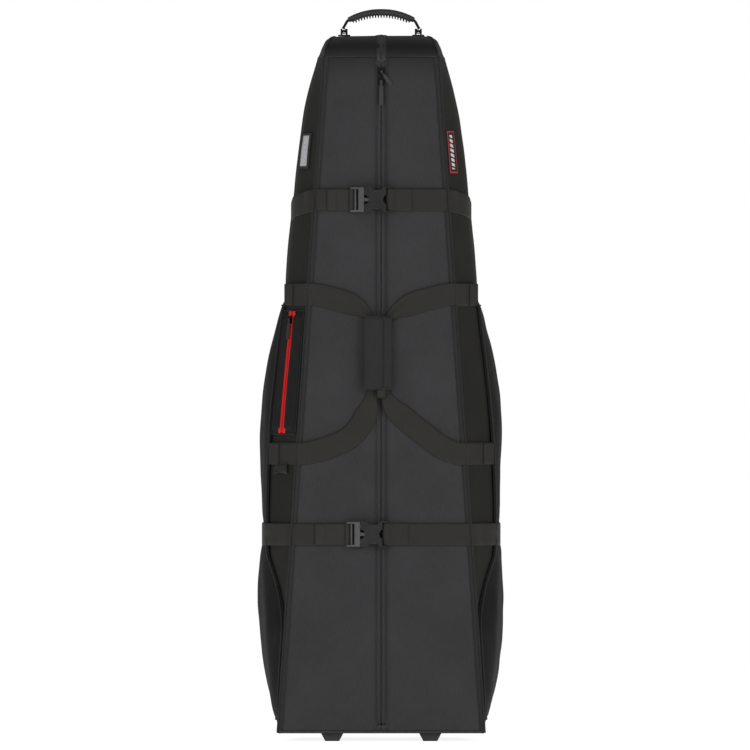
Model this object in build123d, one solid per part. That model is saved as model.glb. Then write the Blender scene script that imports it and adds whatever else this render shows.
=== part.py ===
"""Wheeled golf travel case: padded fabric shell on a moulded base, with a centre zip between
two front flaps, two buckled straps, a pair of haul loops in a wrap grip and a top grab handle.
Millimetres, +Z up, front facing -Y, origin on the floor under the middle of the case."""
from build123d import *
import math
import os

# ---- overall ----
FOOT_HEIGHT = 14.0            # floor to underside of the base plate
BREAK_Z = 1230.0              # where the upright walls end and the crown starts
CROWN_Z = 1269.0              # highest point of the crown
FRONT_BASE_Y = -162.0         # outer face of the front flaps at the base
FRONT_TOP_Y = -122.0          # and at the crown
BACK_Y = 160.0                # outer face of the back panel
SEAM_BASE_X = 184.0           # half width of the front at the base
SEAM_TOP_X = 101.0            # and at the crown
WALL = 4.0                    # laminated wall cloth
POCKET_WALL = 3.0             # unpadded pocket cloth
FLAP_THICK = 9.0              # padded front flap
SEAM_GAP = 0.6                # room between panels that are sewn or hinged edge to edge
SEAM_ROOM = 5.0               # flaps stop this far inside the seam line they turn on
PIPING_R = 1.5

# ---- half widths of the sides against height ----
FRONT_STRIP_DEPTH = 60.0      # how far back the side's front strip reaches
WAIST_Y = 10.0                # where the side wall is widest
POCKET_RIM_X = ((14, 180), (195, 176), (265, 190), (345, 204), (405, 205), (548, 200),
                (796, 173.5), (882, 165), (972, 155), (1062, 146), (1152, 131), (1230, 110))
SIDE_WALL_X = ((14, 176), (195, 180), (345, 188), (486, 188), (684, 183), (790, 175),
               (882, 170), (972, 160), (1062, 149), (1152, 136), (1230, 114))
BACK_SEAM_X = ((14, 166), (405, 168), (790, 156), (1062, 134), (1230, 104))
BELLY_X = ((32, 190), (72, 201), (162, 215), (252, 221), (372, 213), (468, 214), (540, 217),
           (612, 214), (702, 201), (756, 188), (788, 180))
POCKET_LOW_Z, POCKET_SPLIT_Z, POCKET_TOP_Z = 32.0, 371.0, 788.0
RIM_DROP_Z = (195.0, 265.0)   # heights over which the pocket's rim swings to the front seam
CROWN_STEPS = ((1230.6, 1.0, -122, 160), (1242, 0.975, -114, 158), (1256, 0.92, -92, 150),
               (1265, 0.86, -55, 132), (1269, 0.74, -15, 104))   # z, width share, front, back

# ---- base, feet and wheels ----
BASE_PLATE = 6.0
BASE_BOARD = 3.0
RUNNING_X = 88.0              # feet and wheels stand this far each side of the middle
FOOT_TOP_W, FOOT_SOLE_W, FOOT_LEN = 40.0, 25.0, 64.0
FOOT_FRONT_Y = -150.0
WHEEL_R, WHEEL_W = 34.0, 24.0
WHEEL_Y = 132.0
HUB_R = 22.0
BEARING_R, BEARING_BORE_R, BEARING_W = 11.0, 4.0, 7.0
AXLE_CLEARANCE = 0.03
AXLE_HEAD_R, AXLE_HEAD_T = 6.5, 4.0
CHEEK_T, CHEEK_GAP = 4.0, 3.0
WHEEL_ROOM = 6.0
HOUSING_T = 3.0
SCREW_R, SCREW_HEAD_R = 2.5, 5.0

# ---- centre zip ----
GROOVE_HALF = 9.0             # half width of the channel between the flaps
TAPE_T, TAPE_W = 1.6, 19.0
TOP_ZIP_END_Y = 15.0          # where the zip stops on the crown
CHAIN_GAP, CHAIN_NECK, CHAIN_HEAD = 1.0, 2.2, 3.6   # from the middle: gap, neck and head of a chain half
HEAD_LOW, HEAD_HIGH = 1.7, 3.3          # underside and top of the chain's head above the tape
FLAP_LOW, FLAP_HIGH = 16.0, 1207.0     # along the front, from the base
SLIDER_LEN, SLIDER_W, SLIDER_PLATE = 15.0, 13.0, 1.6
LOWER_SLIDER, UPPER_SLIDER = 1172.0, 1189.0     # slider middles, along the front
PIN_R, RING_FIT = 0.8, 0.08   # pull pins and their running clearance
PULL_T, PULL_W = 2.0, 7.0
LOWER_PULL, UPPER_PULL, POCKET_PULL = 44.0, 30.0, 36.0
UPPER_PULL_TURN = 37.0        # the upper pull lies over the right flap

# ---- webbing, straps and buckles ----
WEB_W, WEB_T = 40.0, 2.0
WEB_OFF = 1.5                 # webbing's standoff from the cloth under it
STRAP_UP, STRAP_LOW = 958.0, 357.0     # strap centres, along the front
BUCKLE_UP_X, BUCKLE_LOW_X = -18.0, -25.0
BUCKLE_W = WEB_W + 6.0
HINGE_ROOM = 9.0              # webbing ends this far from the flap's hinge line
STRAP_DROP = 24.0             # the upper strap falls this much on its way round the side
UPPER_TAIL, LOWER_TAIL = 78.0, 93.0    # the tails' reach from the buckle's middle

# ---- haul loops and wrap grip ----
HAUL_UP, HAUL_LOW = 788.0, 502.0
WRAP_MID, WRAP_LEN, WRAP_W = 682.0, 131.0, 50.0
WRAP_X = -6.0
CORE_LOW, CORE_TOP = 4.2, 19.5
STRIP_W = 17.0                # webbing bunched inside the wrap

# ---- top handle ----
HANDLE_Y, HANDLE_PIVOT_Z = 40.0, 1278.0
HANDLE_HALF, GRIP_HALF = 67.0, 56.0
GRIP_TOP_Z, GRIP_SAG, GRIP_T = 1318.0, 19.0, 10.0
GRIP_DEPTH = 22.0
RIB_COUNT, RIB_PITCH, RIB_DEPTH = 20, 5.3, 3.5
HANDLE_PIN_R, HANDLE_FIT = 2.5, 0.08

# ---- pocket zip, window and badge ----
POCKET_Z = (550.0, 774.0)
POCKET_ACROSS = (0.10, 0.92)  # share of the side's front strip the pocket covers
POCKET_DEPTH, POCKET_CLOTH = 9.0, 2.0
RED_ZIP_AT = 0.515
SLIT_HALF, TAPE_HALF, TAPE_LIFT = 6.0, 9.5, 5.4
POCKET_SLIDER_Z = 756.0
WINDOW_Z, WINDOW_ACROSS = (1028.0, 1092.0), (0.40, 0.99)
BADGE_Z, BADGE_ACROSS = (1019.0, 1096.0), (0.14, 0.72)


def along(table, z):
    """Straight-line interpolation in a table of (height, value)."""
    if z <= table[0][0]:
        return table[0][1]
    for (z0, v0), (z1, v1) in zip(table, table[1:]):
        if z <= z1:
            return v0 + (v1 - v0) * (z - z0) / (z1 - z0)
    return table[-1][1]


FRONT_RISE = BREAK_Z - FOOT_HEIGHT
LEAN = math.atan2(FRONT_TOP_Y - FRONT_BASE_Y, FRONT_RISE)
FRONT_LEN = FRONT_RISE / math.cos(LEAN)
FRONT = Plane(origin=(0, FRONT_BASE_Y, FOOT_HEIGHT), x_dir=(1, 0, 0),
              z_dir=(0, -math.cos(LEAN), math.sin(LEAN)))
SEAM_SLOPE = (SEAM_BASE_X - SEAM_TOP_X) / FRONT_LEN


def front_y(z):
    return FRONT_BASE_Y + (z - FOOT_HEIGHT) * math.tan(LEAN)


def seam_x(z):
    return SEAM_BASE_X - (z - FOOT_HEIGHT) / math.cos(LEAN) * SEAM_SLOPE


def seam_at(s):
    """Half width of the front at s along it from the base."""
    return SEAM_BASE_X - s * SEAM_SLOPE


def on_front(x, s, h):
    """A point at x across, s up and h out from the front."""
    return FRONT.from_local_coords(Vector(x, s, h))


def front_block(x0, x1, s0, s1, h0, h1):
    """A box in the front's own directions."""
    block = Box(x1 - x0, s1 - s0, h1 - h0)
    return FRONT * Pos((x0 + x1) / 2, (s0 + s1) / 2, (h0 + h1) / 2) * block


def front_prism(points, h0, h1):
    """An outline drawn on the front and raised from h0 to h1."""
    face = make_face(Polyline(*points, close=True))
    return FRONT * Pos(0, 0, h0) * extrude(face, h1 - h0)


def mirrored(shape, side):
    return shape if side > 0 else mirror(shape, Plane.YZ)


def save(name, *shapes):
    solids = []
    for shape in shapes:
        solids += shape.solids()
    whole = solids[0] if len(solids) == 1 else Compound(children=solids)
    export_step(whole, f"parts/{name}.step")


# ---------------------------------------------------------------- shell outlines

def gusset_line(z, out=0.0):
    """The side wall's outer line at height z on the +X side, from the front seam to the back seam."""
    return [(seam_x(z) + SEAM_GAP + out, front_y(z) + 0.5),
            (along(POCKET_RIM_X, z) + out, front_y(z) + FRONT_STRIP_DEPTH - 0.4 * out),
            (along(SIDE_WALL_X, z) + out, WAIST_Y),
            (along(BACK_SEAM_X, z) + SEAM_GAP + out, BACK_Y)]


def belly_line(z):
    """The side pocket's outer line at height z on the +X side."""
    belly = along(BELLY_X, z)
    swing = min(1, max(0, (z - RIM_DROP_Z[0]) / (RIM_DROP_Z[1] - RIM_DROP_Z[0])))
    rim_x = seam_x(z) + 6 + (along(POCKET_RIM_X, z) - seam_x(z) - 1) * swing
    rim_y = front_y(z) + 8 + (FRONT_STRIP_DEPTH - 6) * swing
    shoulder = rim_x + 0.75 * (belly - rim_x)
    return [(rim_x, rim_y), (shoulder, rim_y + 26), (belly, WAIST_Y), (belly - 3, 70),
            (along(BACK_SEAM_X, z) + 8, BACK_Y - 6)]


def inward(points, depth):
    """The line moved inwards (to its left as it runs front to back on +X) by depth."""
    moved = []
    for i, (x, y) in enumerate(points):
        x0, y0 = points[max(i - 1, 0)]
        x1, y1 = points[min(i + 1, len(points) - 1)]
        ends = []
        for (ax, ay), (bx, by) in (((x0, y0), (x, y)), ((x, y), (x1, y1))):
            length = math.hypot(bx - ax, by - ay)
            if length > 0:
                ends.append((-(by - ay) / length, (bx - ax) / length))
        nx = sum(e[0] for e in ends) / len(ends)
        ny = sum(e[1] for e in ends) / len(ends)
        scale = depth / (nx * nx + ny * ny)
        moved.append((x + nx * scale, y + ny * scale))
    return moved


def strip_section(line, depth, z):
    """A wall outline: the line and its inner side."""
    points = line + inward(line, depth)[::-1]
    return Wire.make_polygon([Vector(x, y, z) for x, y in points], close=True)


def stations(low, high, *tables):
    heights = {low, high}
    for table in tables:
        heights |= {z for z, _ in table if low < z < high}
    return sorted(heights)


def side_gusset():
    levels = stations(FOOT_HEIGHT + 0.2, BREAK_Z, POCKET_RIM_X, SIDE_WALL_X)
    return Solid.make_loft([strip_section(gusset_line(z), WALL, z) for z in levels], ruled=True)


def side_pockets():
    """Shoe pocket and the taller pocket over it, parted under the lower strap."""
    shells = []
    for low, high in ((POCKET_LOW_Z, POCKET_SPLIT_Z - 1), (POCKET_SPLIT_Z + 1, POCKET_TOP_Z)):
        levels = stations(low, high, BELLY_X, POCKET_RIM_X)
        rings = [strip_section(belly_line(z), POCKET_WALL, z) for z in levels]
        shells.append(Solid.make_loft(rings, ruled=True))
    return shells


def back_panel():
    half = [(along(BACK_SEAM_X, z) - WALL - 1, z) for z in stations(FOOT_HEIGHT + 0.2, BREAK_Z, BACK_SEAM_X)]
    outline = half + [(-x, z) for x, z in half[::-1]]
    face = make_face(Polyline(*outline, close=True))
    return Plane(origin=(0, BACK_Y, 0), x_dir=(1, 0, 0), z_dir=(0, -1, 0)) * extrude(face, WALL)


def crown_section(z, share, front, back, depth):
    rim, side, rear = (along(t, BREAK_Z) * share - depth for t in (POCKET_RIM_X, SIDE_WALL_X, BACK_SEAM_X))
    half = [(SEAM_TOP_X * share - depth, front + depth), (rim, front + FRONT_STRIP_DEPTH), (side, WAIST_Y),
            (rear, back - depth)]
    points = half + [(-x, y) for x, y in half[::-1]]
    return Wire.make_polygon([Vector(x, y, z) for x, y in points], close=True)


def crown(depth, grow=0.0):
    """The crown's dome, taken in by depth."""
    base_z = CROWN_STEPS[0][0] - grow
    rings = [crown_section(base_z, *CROWN_STEPS[0][1:], depth)]
    for z, share, front, back in CROWN_STEPS[1:]:
        if z - depth > base_z + 2:
            rings.append(crown_section(z - depth, share, front, back, depth))
    return Solid.make_loft(rings, ruled=True)


def front_flap():
    """Right flap: a padded panel from the zip channel to the hinge line."""
    outline = [(GROOVE_HALF, FLAP_LOW), (seam_at(FLAP_LOW) - SEAM_ROOM, FLAP_LOW),
               (seam_at(FLAP_HIGH) - SEAM_ROOM, FLAP_HIGH), (GROOVE_HALF, FLAP_HIGH)]
    return front_prism(outline, -FLAP_THICK, 0)


TAPE_TOP = -FLAP_THICK - 0.1
PLATE_LOW = TAPE_TOP + HEAD_HIGH + 0.3
PLATE_TOP = PLATE_LOW + SLIDER_PLATE
PIN_H = PLATE_TOP + 2.2
REST_LIFT = PULL_T / 2 + 0.5 - PIN_H      # raises a pull from the channel onto a flap


def zip_half():
    """Tape and one half of the chain: a neck on the tape's edge with a wider head over it."""
    tape = front_block(CHAIN_NECK, TAPE_W, FLAP_LOW, FLAP_HIGH, TAPE_TOP - TAPE_T, TAPE_TOP)
    neck = front_block(CHAIN_GAP, CHAIN_NECK, FLAP_LOW, FLAP_HIGH, TAPE_TOP - TAPE_T, TAPE_TOP + HEAD_HIGH)
    head = front_block(CHAIN_GAP, CHAIN_HEAD, FLAP_LOW, FLAP_HIGH, TAPE_TOP + HEAD_LOW, TAPE_TOP + HEAD_HIGH)
    return tape + neck + head


def slider(s):
    """A plate over the chain, hooked under the right half's head, with lugs and a pin for the pull."""
    s0, s1 = s - SLIDER_LEN / 2, s + SLIDER_LEN / 2
    hook_top = TAPE_TOP + HEAD_LOW - 0.3
    body = front_block(-SLIDER_W / 2, SLIDER_W / 2, s0, s1, PLATE_LOW, PLATE_TOP)
    body += front_block(CHAIN_HEAD + 0.3, SLIDER_W / 2, s0, s1, TAPE_TOP + 0.3, PLATE_LOW)
    body += front_block(CHAIN_NECK + 0.4, CHAIN_HEAD + 0.4, s0, s1, TAPE_TOP + 0.3, hook_top)
    return body


def pin_lugs(place, top):
    """Two lugs and the pin between them, in the place's own directions (pin along x)."""
    lugs = [Pos(side * 3.2, 0, top / 2 + 0.6) * Box(1.4, 3.6, top + 1.2) for side in (-1, 1)]
    pin = Pos(0, 0, top) * Cylinder(PIN_R, 6.4, rotation=(0, 90, 0))
    return place * (lugs[0] + lugs[1] + pin)


def pull(place, top, length, width, lift=0.0):
    """A pull tab hanging along -y of its place from a ring round the pin; lift raises its far part."""
    bore, ring_r = PIN_R + RING_FIT, PIN_R + RING_FIT + 1.1
    low, high = top - PULL_T / 2, top + PULL_T / 2
    if lift:
        side = [(0, low), (-3, low), (-6.5, low + lift), (-length, low + lift), (-length, high + lift),
                (-6, high + lift), (-2.5, high), (0, high)]
    else:
        side = [(0, low), (-length, low), (-length, high), (0, high)]
    face = make_face(Polyline(*side, close=True))
    neck = Plane.YZ * Pos(0, 0, -2.0) * extrude(face, 4.0)
    tab_room = Pos(0, -length / 2 - 5, top + lift) * Box(width, length - 10, 3 * PULL_T)
    wide = (Plane.YZ * Pos(0, 0, -width / 2) * extrude(face, width)) & tab_room
    ring = Pos(0, 0, top) * Cylinder(ring_r, 4.0, rotation=(0, 90, 0))
    hole = Pos(0, 0, top) * Cylinder(bore, 20, rotation=(0, 90, 0))
    return place * (neck + wide + ring - hole)


def slider_place(s):
    return FRONT * Pos(0, s, PLATE_TOP)


def upper_pull_place():
    return slider_place(UPPER_SLIDER) * Rot(0, 0, UPPER_PULL_TURN)


def front_frame():
    """The strips of cloth under the flaps and between them and the crown."""
    strips = []
    for low, high in ((0.2, FLAP_LOW - 1), (FLAP_HIGH + 1, FRONT_LEN - 0.3)):
        outline = [(-seam_at(low) + SEAM_ROOM, low), (seam_at(low) - SEAM_ROOM, low),
                   (seam_at(high) - SEAM_ROOM, high), (-seam_at(high) + SEAM_ROOM, high)]
        strips.append(front_prism(outline, -WALL, 0))
    return strips


def top_zip():
    """The end of the zip where it runs up the brow and over the crown."""
    start = height_of(FLAP_HIGH + 2)
    run = [(front_y(start), start)] + [(front, z) for z, _, front, _ in CROWN_STEPS] + [(TOP_ZIP_END_Y, CROWN_Z)]
    outline = inward(run, 0.6) + inward(run, 2.2)[::-1]
    face = make_face(Polyline(*outline, close=True))
    return Plane.YZ * Pos(0, 0, -7) * extrude(face, 14)


def piping(side):
    """Round cord along the front seam."""
    low, high = (Vector(seam_x(z) + 3.6, front_y(z) - 1.5, z) for z in (FOOT_HEIGHT + 1, BREAK_Z - 1))
    cord = Plane(origin=low, z_dir=high - low) * extrude(Circle(PIPING_R), (high - low).length)
    return mirrored(cord, side)


# ---------------------------------------------------------------- pieces sewn to the side's front strip

def on_strip(z, share, lift):
    """A point on the +X side's front strip: share of the way from seam to rim, lifted off the cloth."""
    x0, y0 = seam_x(z) + SEAM_GAP, front_y(z) + 0.5
    x1, y1 = along(POCKET_RIM_X, z), front_y(z) + FRONT_STRIP_DEPTH
    dx, dy = x1 - x0, y1 - y0
    length = math.hypot(dx, dy)
    return x0 + share * dx + lift * dy / length, y0 + share * dy - lift * dx / length


def strip_width(z):
    return math.hypot(along(POCKET_RIM_X, z) - seam_x(z), FRONT_STRIP_DEPTH)


def strip_loft(low, high, outline):
    """Outline of (share, lift) points lofted up the front strip."""
    rings = []
    for z in stations(low, high, POCKET_RIM_X):
        points = [Vector(*on_strip(z, share(z) if callable(share) else share, lift), z) for share, lift in outline]
        rings.append(Wire.make_polygon(points, close=True))
    return Solid.make_loft(rings, ruled=True)


def beside_zip(offset):
    return lambda z: RED_ZIP_AT + offset / strip_width(z)


def strip_patch(low, high, share0, share1, lift0, lift1):
    return strip_loft(low, high, [(share0, lift0), (share1, lift0), (share1, lift1), (share0, lift1)])


def valuables_pocket():
    halves = []
    inner = POCKET_DEPTH - POCKET_CLOTH
    for edge, side in ((POCKET_ACROSS[0], -1), (POCKET_ACROSS[1], 1)):
        cloth = edge - side * 0.04
        slit = beside_zip(side * SLIT_HALF)
        halves.append(strip_loft(*POCKET_Z, [(edge, 0.6), (edge, POCKET_DEPTH), (slit, POCKET_DEPTH),
                                             (slit, inner), (cloth, inner), (cloth, 0.6)]))
    return halves


def pocket_zip_tape():
    low, high = POCKET_Z[0] + 2, POCKET_Z[1] - 2
    return [strip_loft(low, high, [(beside_zip(a), TAPE_LIFT), (beside_zip(b), TAPE_LIFT),
                                   (beside_zip(b), TAPE_LIFT + 1.2), (beside_zip(a), TAPE_LIFT + 1.2)])
            for a, b in ((-TAPE_HALF, -1.0), (1.0, TAPE_HALF))]


def pocket_zip_place():
    """Frame at the pocket slider: y up the zip, z out of the cloth, on the left side."""
    low, high = (Vector(*on_strip(z, RED_ZIP_AT, 0), z) for z in POCKET_Z)
    low, high = (Vector(-p.X, p.Y, p.Z) for p in (low, high))
    rise = (high - low).normalized()
    here = Vector(*on_strip(POCKET_SLIDER_Z, RED_ZIP_AT, 0), POCKET_SLIDER_Z)
    lifted = Vector(*on_strip(POCKET_SLIDER_Z, RED_ZIP_AT, 10), POCKET_SLIDER_Z)
    out = Vector(here.X - lifted.X, lifted.Y - here.Y, 0).normalized()
    across = rise.cross(out).normalized()
    return Plane(origin=Vector(-here.X, here.Y, here.Z), x_dir=across, z_dir=across.cross(rise))


POCKET_PLATE_LOW = TAPE_LIFT + 1.2 + 0.8


def pocket_slider():
    place = pocket_zip_place()
    plate = Pos(0, 0, POCKET_PLATE_LOW + 0.7) * Box(8, 14, 1.4)
    web = Pos(0, 5, (POCKET_PLATE_LOW + TAPE_LIFT) / 2 - 0.5) * Box(0.8, 4, 5.0)
    back = Pos(0, 0, TAPE_LIFT - 1.4) * Box(8, 14, 1.2)
    top = POCKET_PLATE_LOW + 1.4
    return place * (plate + web + back) + pin_lugs(place * Pos(0, 0, top), 2.2)


def pocket_pull():
    place = pocket_zip_place() * Pos(0, 0, POCKET_PLATE_LOW + 1.4)
    return pull(place, 2.2, POCKET_PULL, 6.0, lift=0.6)


def id_window():
    """Frame, card and clear cover on the left side."""
    low, high = WINDOW_Z
    a, b = WINDOW_ACROSS
    edge_z, edge = 4.0, 0.11
    frame = strip_patch(low, high, a, b, 0.6, 3.0)
    frame -= strip_patch(low + edge_z, high - edge_z, a + edge, b - edge, 0.0, 4.0)
    inner = (low + edge_z + 0.4, high - edge_z - 0.4, a + edge + 0.01, b - edge - 0.01)
    return [mirrored(shape, -1) for shape in (frame, strip_patch(*inner, 0.7, 1.3), strip_patch(*inner, 1.7, 2.3))]


# ---------------------------------------------------------------- webbing round the sides and back

def side_path(z, lift, pocketed):
    """The +X half of a girth strap, from the front seam to the middle of the back."""
    start = on_strip(z, 0.04, lift)
    if pocketed:
        round_side = inward(belly_line(z), -lift)[:-1]
    else:
        round_side = inward(gusset_line(z), -lift)[1:3]
    side = along(BACK_SEAM_X, z) + (8 if pocketed else 1) + lift
    return [start] + round_side + [(side, BACK_Y + lift), (0.2, BACK_Y + lift)]


def tilted_ring(level, fall, lift, pocketed):
    """A strip outline in a plane that falls towards the back."""
    outline = []
    for depth in (lift, lift + WEB_T):
        run = []
        for n in range(len(side_path(level, depth, pocketed))):
            z = level
            for _ in range(3):
                x, y = side_path(z, depth, pocketed)[n]
                z = level - fall * (y - front_y(level))
            run.append(Vector(x, y, z))
        outline.append(run)
    return Wire.make_polygon(outline[0] + outline[1][::-1], close=True)


def girth_half(level, fall, pocketed):
    edges = (level - WEB_W / 2, level + WEB_W / 2)
    return Solid.make_loft([tilted_ring(z, fall, WEB_OFF, pocketed) for z in edges], ruled=True)


def height_of(s):
    return FOOT_HEIGHT + s * math.cos(LEAN)


def haul_anchors():
    """Webbing stubs from the seam onto the side, for the haul loop's two ends."""
    stubs = []
    for s in (HAUL_UP, HAUL_LOW):
        z = height_of(s)
        stubs.append(strip_patch(z - WEB_W / 2, z + WEB_W / 2, 0.05, 0.95, 0.6, 2.6))
    return stubs


# ---------------------------------------------------------------- straps and buckles on the flaps

def web_right(s, mid):
    """Right-hand strap: from the hinge line to the buckle's end bar, round it and back."""
    end, bar = seam_at(s + WEB_W / 2) - HINGE_ROOM, mid + 33.0
    side = [(end, WEB_OFF), (bar - 5, WEB_OFF), (bar - 5, 11), (bar + 5, 11), (bar + 16, WEB_OFF + WEB_T + 1.8),
            (bar + 30, WEB_OFF + WEB_T), (end, WEB_OFF + WEB_T)]
    body = profile_strip(side, s, WEB_W)
    bore = [(bar - 3, WEB_OFF + WEB_T), (bar - 3, 9), (bar + 4, 9), (bar + 11, WEB_OFF + WEB_T)]
    return body - profile_strip(bore, s, WEB_W + 4)


def profile_strip(outline, s, width):
    """An (x, height) outline carried along the front by width, centred on s."""
    face = make_face(Polyline(*outline, close=True))
    turned = Plane(origin=(0, 0, 0), x_dir=(1, 0, 0), z_dir=(0, -1, 0)) * Pos(0, 0, -width / 2) * extrude(face, width)
    return FRONT * Pos(0, s, 0) * turned


def web_left(s, mid):
    """Left-hand strap, up to the buckle's ladder bars."""
    end = seam_at(s + WEB_W / 2) - HINGE_ROOM
    return front_block(-end, mid - 30, s - WEB_W / 2, s + WEB_W / 2, WEB_OFF, WEB_OFF + WEB_T)


def buckle_female(s, mid):
    """Receiver: a flat shell with side windows, a mouth on the left and a webbing bar on the right."""
    w, slot = BUCKLE_W / 2, WEB_W / 2 + 1
    body = front_block(mid - 12, mid + 35, s - w, s + w, 4, 15)
    body -= front_block(mid - 13, mid + 19, s - w + 5.5, s + w - 5.5, 6, 13)
    body -= front_block(mid + 27, mid + 31, s - slot, s + slot, 3, 16)
    body -= front_block(mid + 30, mid + 36, s - slot, s + slot, 8.5, 16)
    for side in (-1, 1):
        body -= FRONT * Pos(mid + 11, s + side * (w + 6), 10) * Cylinder(13, 16)
    for x, radius in ((-12, 8), (31, 9.5)):
        body -= FRONT * Pos(mid + x, s, 10) * Cylinder(radius, 16)
    bar = front_block(mid + 31, mid + 35, s - w, s + w, 4, 8.5)
    return body + bar


def buckle_male(s, mid):
    """Latch: two ladder bars, a shoulder, two side prongs and a centre guide."""
    w = BUCKLE_W / 2 - 1
    body = front_block(mid - 37, mid - 13, s - w, s + w, 4.5, 13)
    for x0, x1 in ((-34, -30), (-27, -23)):
        body -= front_block(mid + x0, mid + x1, s - w + 3, s + w - 3, 3, 14)
    body -= front_block(mid - 38, mid - 23, s - w + 3, s + w - 3, 8.5, 14)
    for side in (-1, 1):
        prong = s + side * (w - 8)
        body += front_block(mid - 14, mid + 16, prong - 3, prong + 3, 7, 12)
    return body + front_block(mid - 14, mid + 3, s - 3, s + 3, 8, 11)


def strap_tail(s, mid, reach):
    """Webbing over the end ladder bar, its free tail lying back along the left strap."""
    low, high = WEB_OFF + WEB_T + 0.5, WEB_OFF + 2 * WEB_T + 0.5
    side = [(mid - reach, low), (mid - 37.5, low), (mid - 37.5, 8.9), (mid - 33.5, 8.9), (mid - 33.5, 5.0),
            (mid - 31.5, 5.0), (mid - 31.5, 10.9), (mid - 39.5, 10.9), (mid - 39.5, high), (mid - reach, high)]
    return profile_strip(side, s, WEB_W - 3)


# ---------------------------------------------------------------- haul loops and wrap grip

def haul_loop(side):
    """A C-shaped band: out from the seam, down behind the wrap and back to the seam."""
    up, low, half = HAUL_UP, HAUL_LOW, WEB_W / 2
    ends = [seam_at(s) - HINGE_ROOM for s in (up + half, up - half, low + half, low - half)]
    outline = [(ends[0], up + half), (24, up - 12), (STRIP_W + 1, WRAP_MID + 73), (1, WRAP_MID + 66),
               (1, WRAP_MID - 70), (22, WRAP_MID - 112), (70, WRAP_MID - 172), (ends[3], low - half),
               (ends[2], low + half), (84, WRAP_MID - 138), (40, WRAP_MID - 84), (STRIP_W, WRAP_MID - 62),
               (STRIP_W, WRAP_MID + 52), (40, up - 46), (ends[1], up - half)]
    return mirrored(front_prism(outline, WEB_OFF, WEB_OFF + WEB_T), side)


def wrap_core():
    block = Box(WRAP_W, WRAP_LEN, CORE_TOP - CORE_LOW)
    block = fillet(block.edges().filter_by(Axis.Y), 5)
    return FRONT * Pos(WRAP_X, WRAP_MID, (CORE_LOW + CORE_TOP) / 2) * block


def wrap_flap():
    x0 = WRAP_X - WRAP_W / 2 + 1
    return front_block(x0, x0 + 33, WRAP_MID - WRAP_LEN / 2, WRAP_MID + WRAP_LEN / 2, 20.1, 23.1)


# ---------------------------------------------------------------- top handle

def grip_edge(x, drop):
    return GRIP_TOP_Z - GRIP_SAG * (x / GRIP_HALF) ** 2 - drop


def handle_grip():
    """Moulded arch with finger ribs under it."""
    xs = [GRIP_HALF * n / 12 for n in range(-12, 13)]
    outline = [(x, grip_edge(x, 0)) for x in xs] + [(x, grip_edge(x, GRIP_T - RIB_DEPTH)) for x in xs[::-1]]
    arch = extrude(Plane.XZ * make_face(Polyline(*outline, close=True)), GRIP_DEPTH / 2, both=True)
    rib = Box(2.8, GRIP_DEPTH - 4, RIB_DEPTH + 2)
    for n in range(RIB_COUNT):
        x = (n - (RIB_COUNT - 1) / 2) * RIB_PITCH
        arch += Pos(x, 0, grip_edge(x, GRIP_T) + (RIB_DEPTH + 2) / 2) * rib
    return Pos(0, HANDLE_Y, 0) * arch


def handle_legs():
    """The two end links between the grip and the pivot pins."""
    legs = []
    z = HANDLE_PIVOT_Z
    for side in (-1, 1):
        outline = [(HANDLE_HALF - 2.5, z), (HANDLE_HALF + 2.5, z), (HANDLE_HALF + 2.5, z + 8),
                   (GRIP_HALF + 4, z + 23), (GRIP_HALF + 0.4, z + 22), (GRIP_HALF + 0.4, z + 14),
                   (HANDLE_HALF - 2.5, z + 7)]
        link = extrude(Plane.XZ * make_face(Polyline(*outline, close=True)), 5.0, both=True)
        link += Pos(HANDLE_HALF, 0, z) * Cylinder(5.0, 5.0, rotation=(0, 90, 0))
        link -= Pos(HANDLE_HALF, 0, z) * Cylinder(HANDLE_PIN_R + HANDLE_FIT, 9, rotation=(0, 90, 0))
        legs.append(mirrored(Pos(0, HANDLE_Y, 0) * link, side))
    return legs


def handle_anchors():
    """Saddles on the crown with the pins the handle turns on."""
    saddles = []
    for side in (-1, 1):
        base = Pos(HANDLE_HALF, 0, CROWN_Z + 1.4) * Box(22, 26, 2.2)
        for offset in (-4.7, 4.7):
            base += Pos(HANDLE_HALF + offset, 0, (CROWN_Z + HANDLE_PIVOT_Z) / 2 + 0.7) * \
                Box(3.4, 9, HANDLE_PIVOT_Z - CROWN_Z - 0.6)
            base += Pos(HANDLE_HALF + offset, 0, HANDLE_PIVOT_Z) * Cylinder(4.5, 3.4, rotation=(0, 90, 0))
        base += Pos(HANDLE_HALF, 0, HANDLE_PIVOT_Z) * Cylinder(HANDLE_PIN_R, 12, rotation=(0, 90, 0))
        saddles.append(mirrored(Pos(0, HANDLE_Y, 0) * base, side))
    return saddles


# ---------------------------------------------------------------- base, feet and wheels

def wheel_block(grow):
    """The room a wheel housing takes out of the panels round it."""
    half = WHEEL_W / 2 + CHEEK_GAP + CHEEK_T + grow
    top = WHEEL_R + WHEEL_R + WHEEL_ROOM + HOUSING_T + grow
    front = WHEEL_Y - WHEEL_R - WHEEL_ROOM - HOUSING_T - grow
    return Pos(RUNNING_X, (front + 200) / 2, top / 2) * Box(2 * half, 200 - front, top)


def both_wheel_blocks(grow):
    return wheel_block(grow) + mirrored(wheel_block(grow), -1)


def base_outline(z, inset):
    half = inward(gusset_line(z), WALL + inset)
    half[0] = (half[0][0] - 2, front_y(z) + WALL + inset)
    half[-1] = (half[-1][0] - 2, BACK_Y - WALL - inset)
    return half + [(-x, y) for x, y in half[::-1]]


def base_plate(low, thick, inset):
    face = make_face(Polyline(*base_outline(low + thick, inset), close=True))
    return Pos(0, 0, low) * extrude(face, thick) - both_wheel_blocks(0.5)


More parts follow.
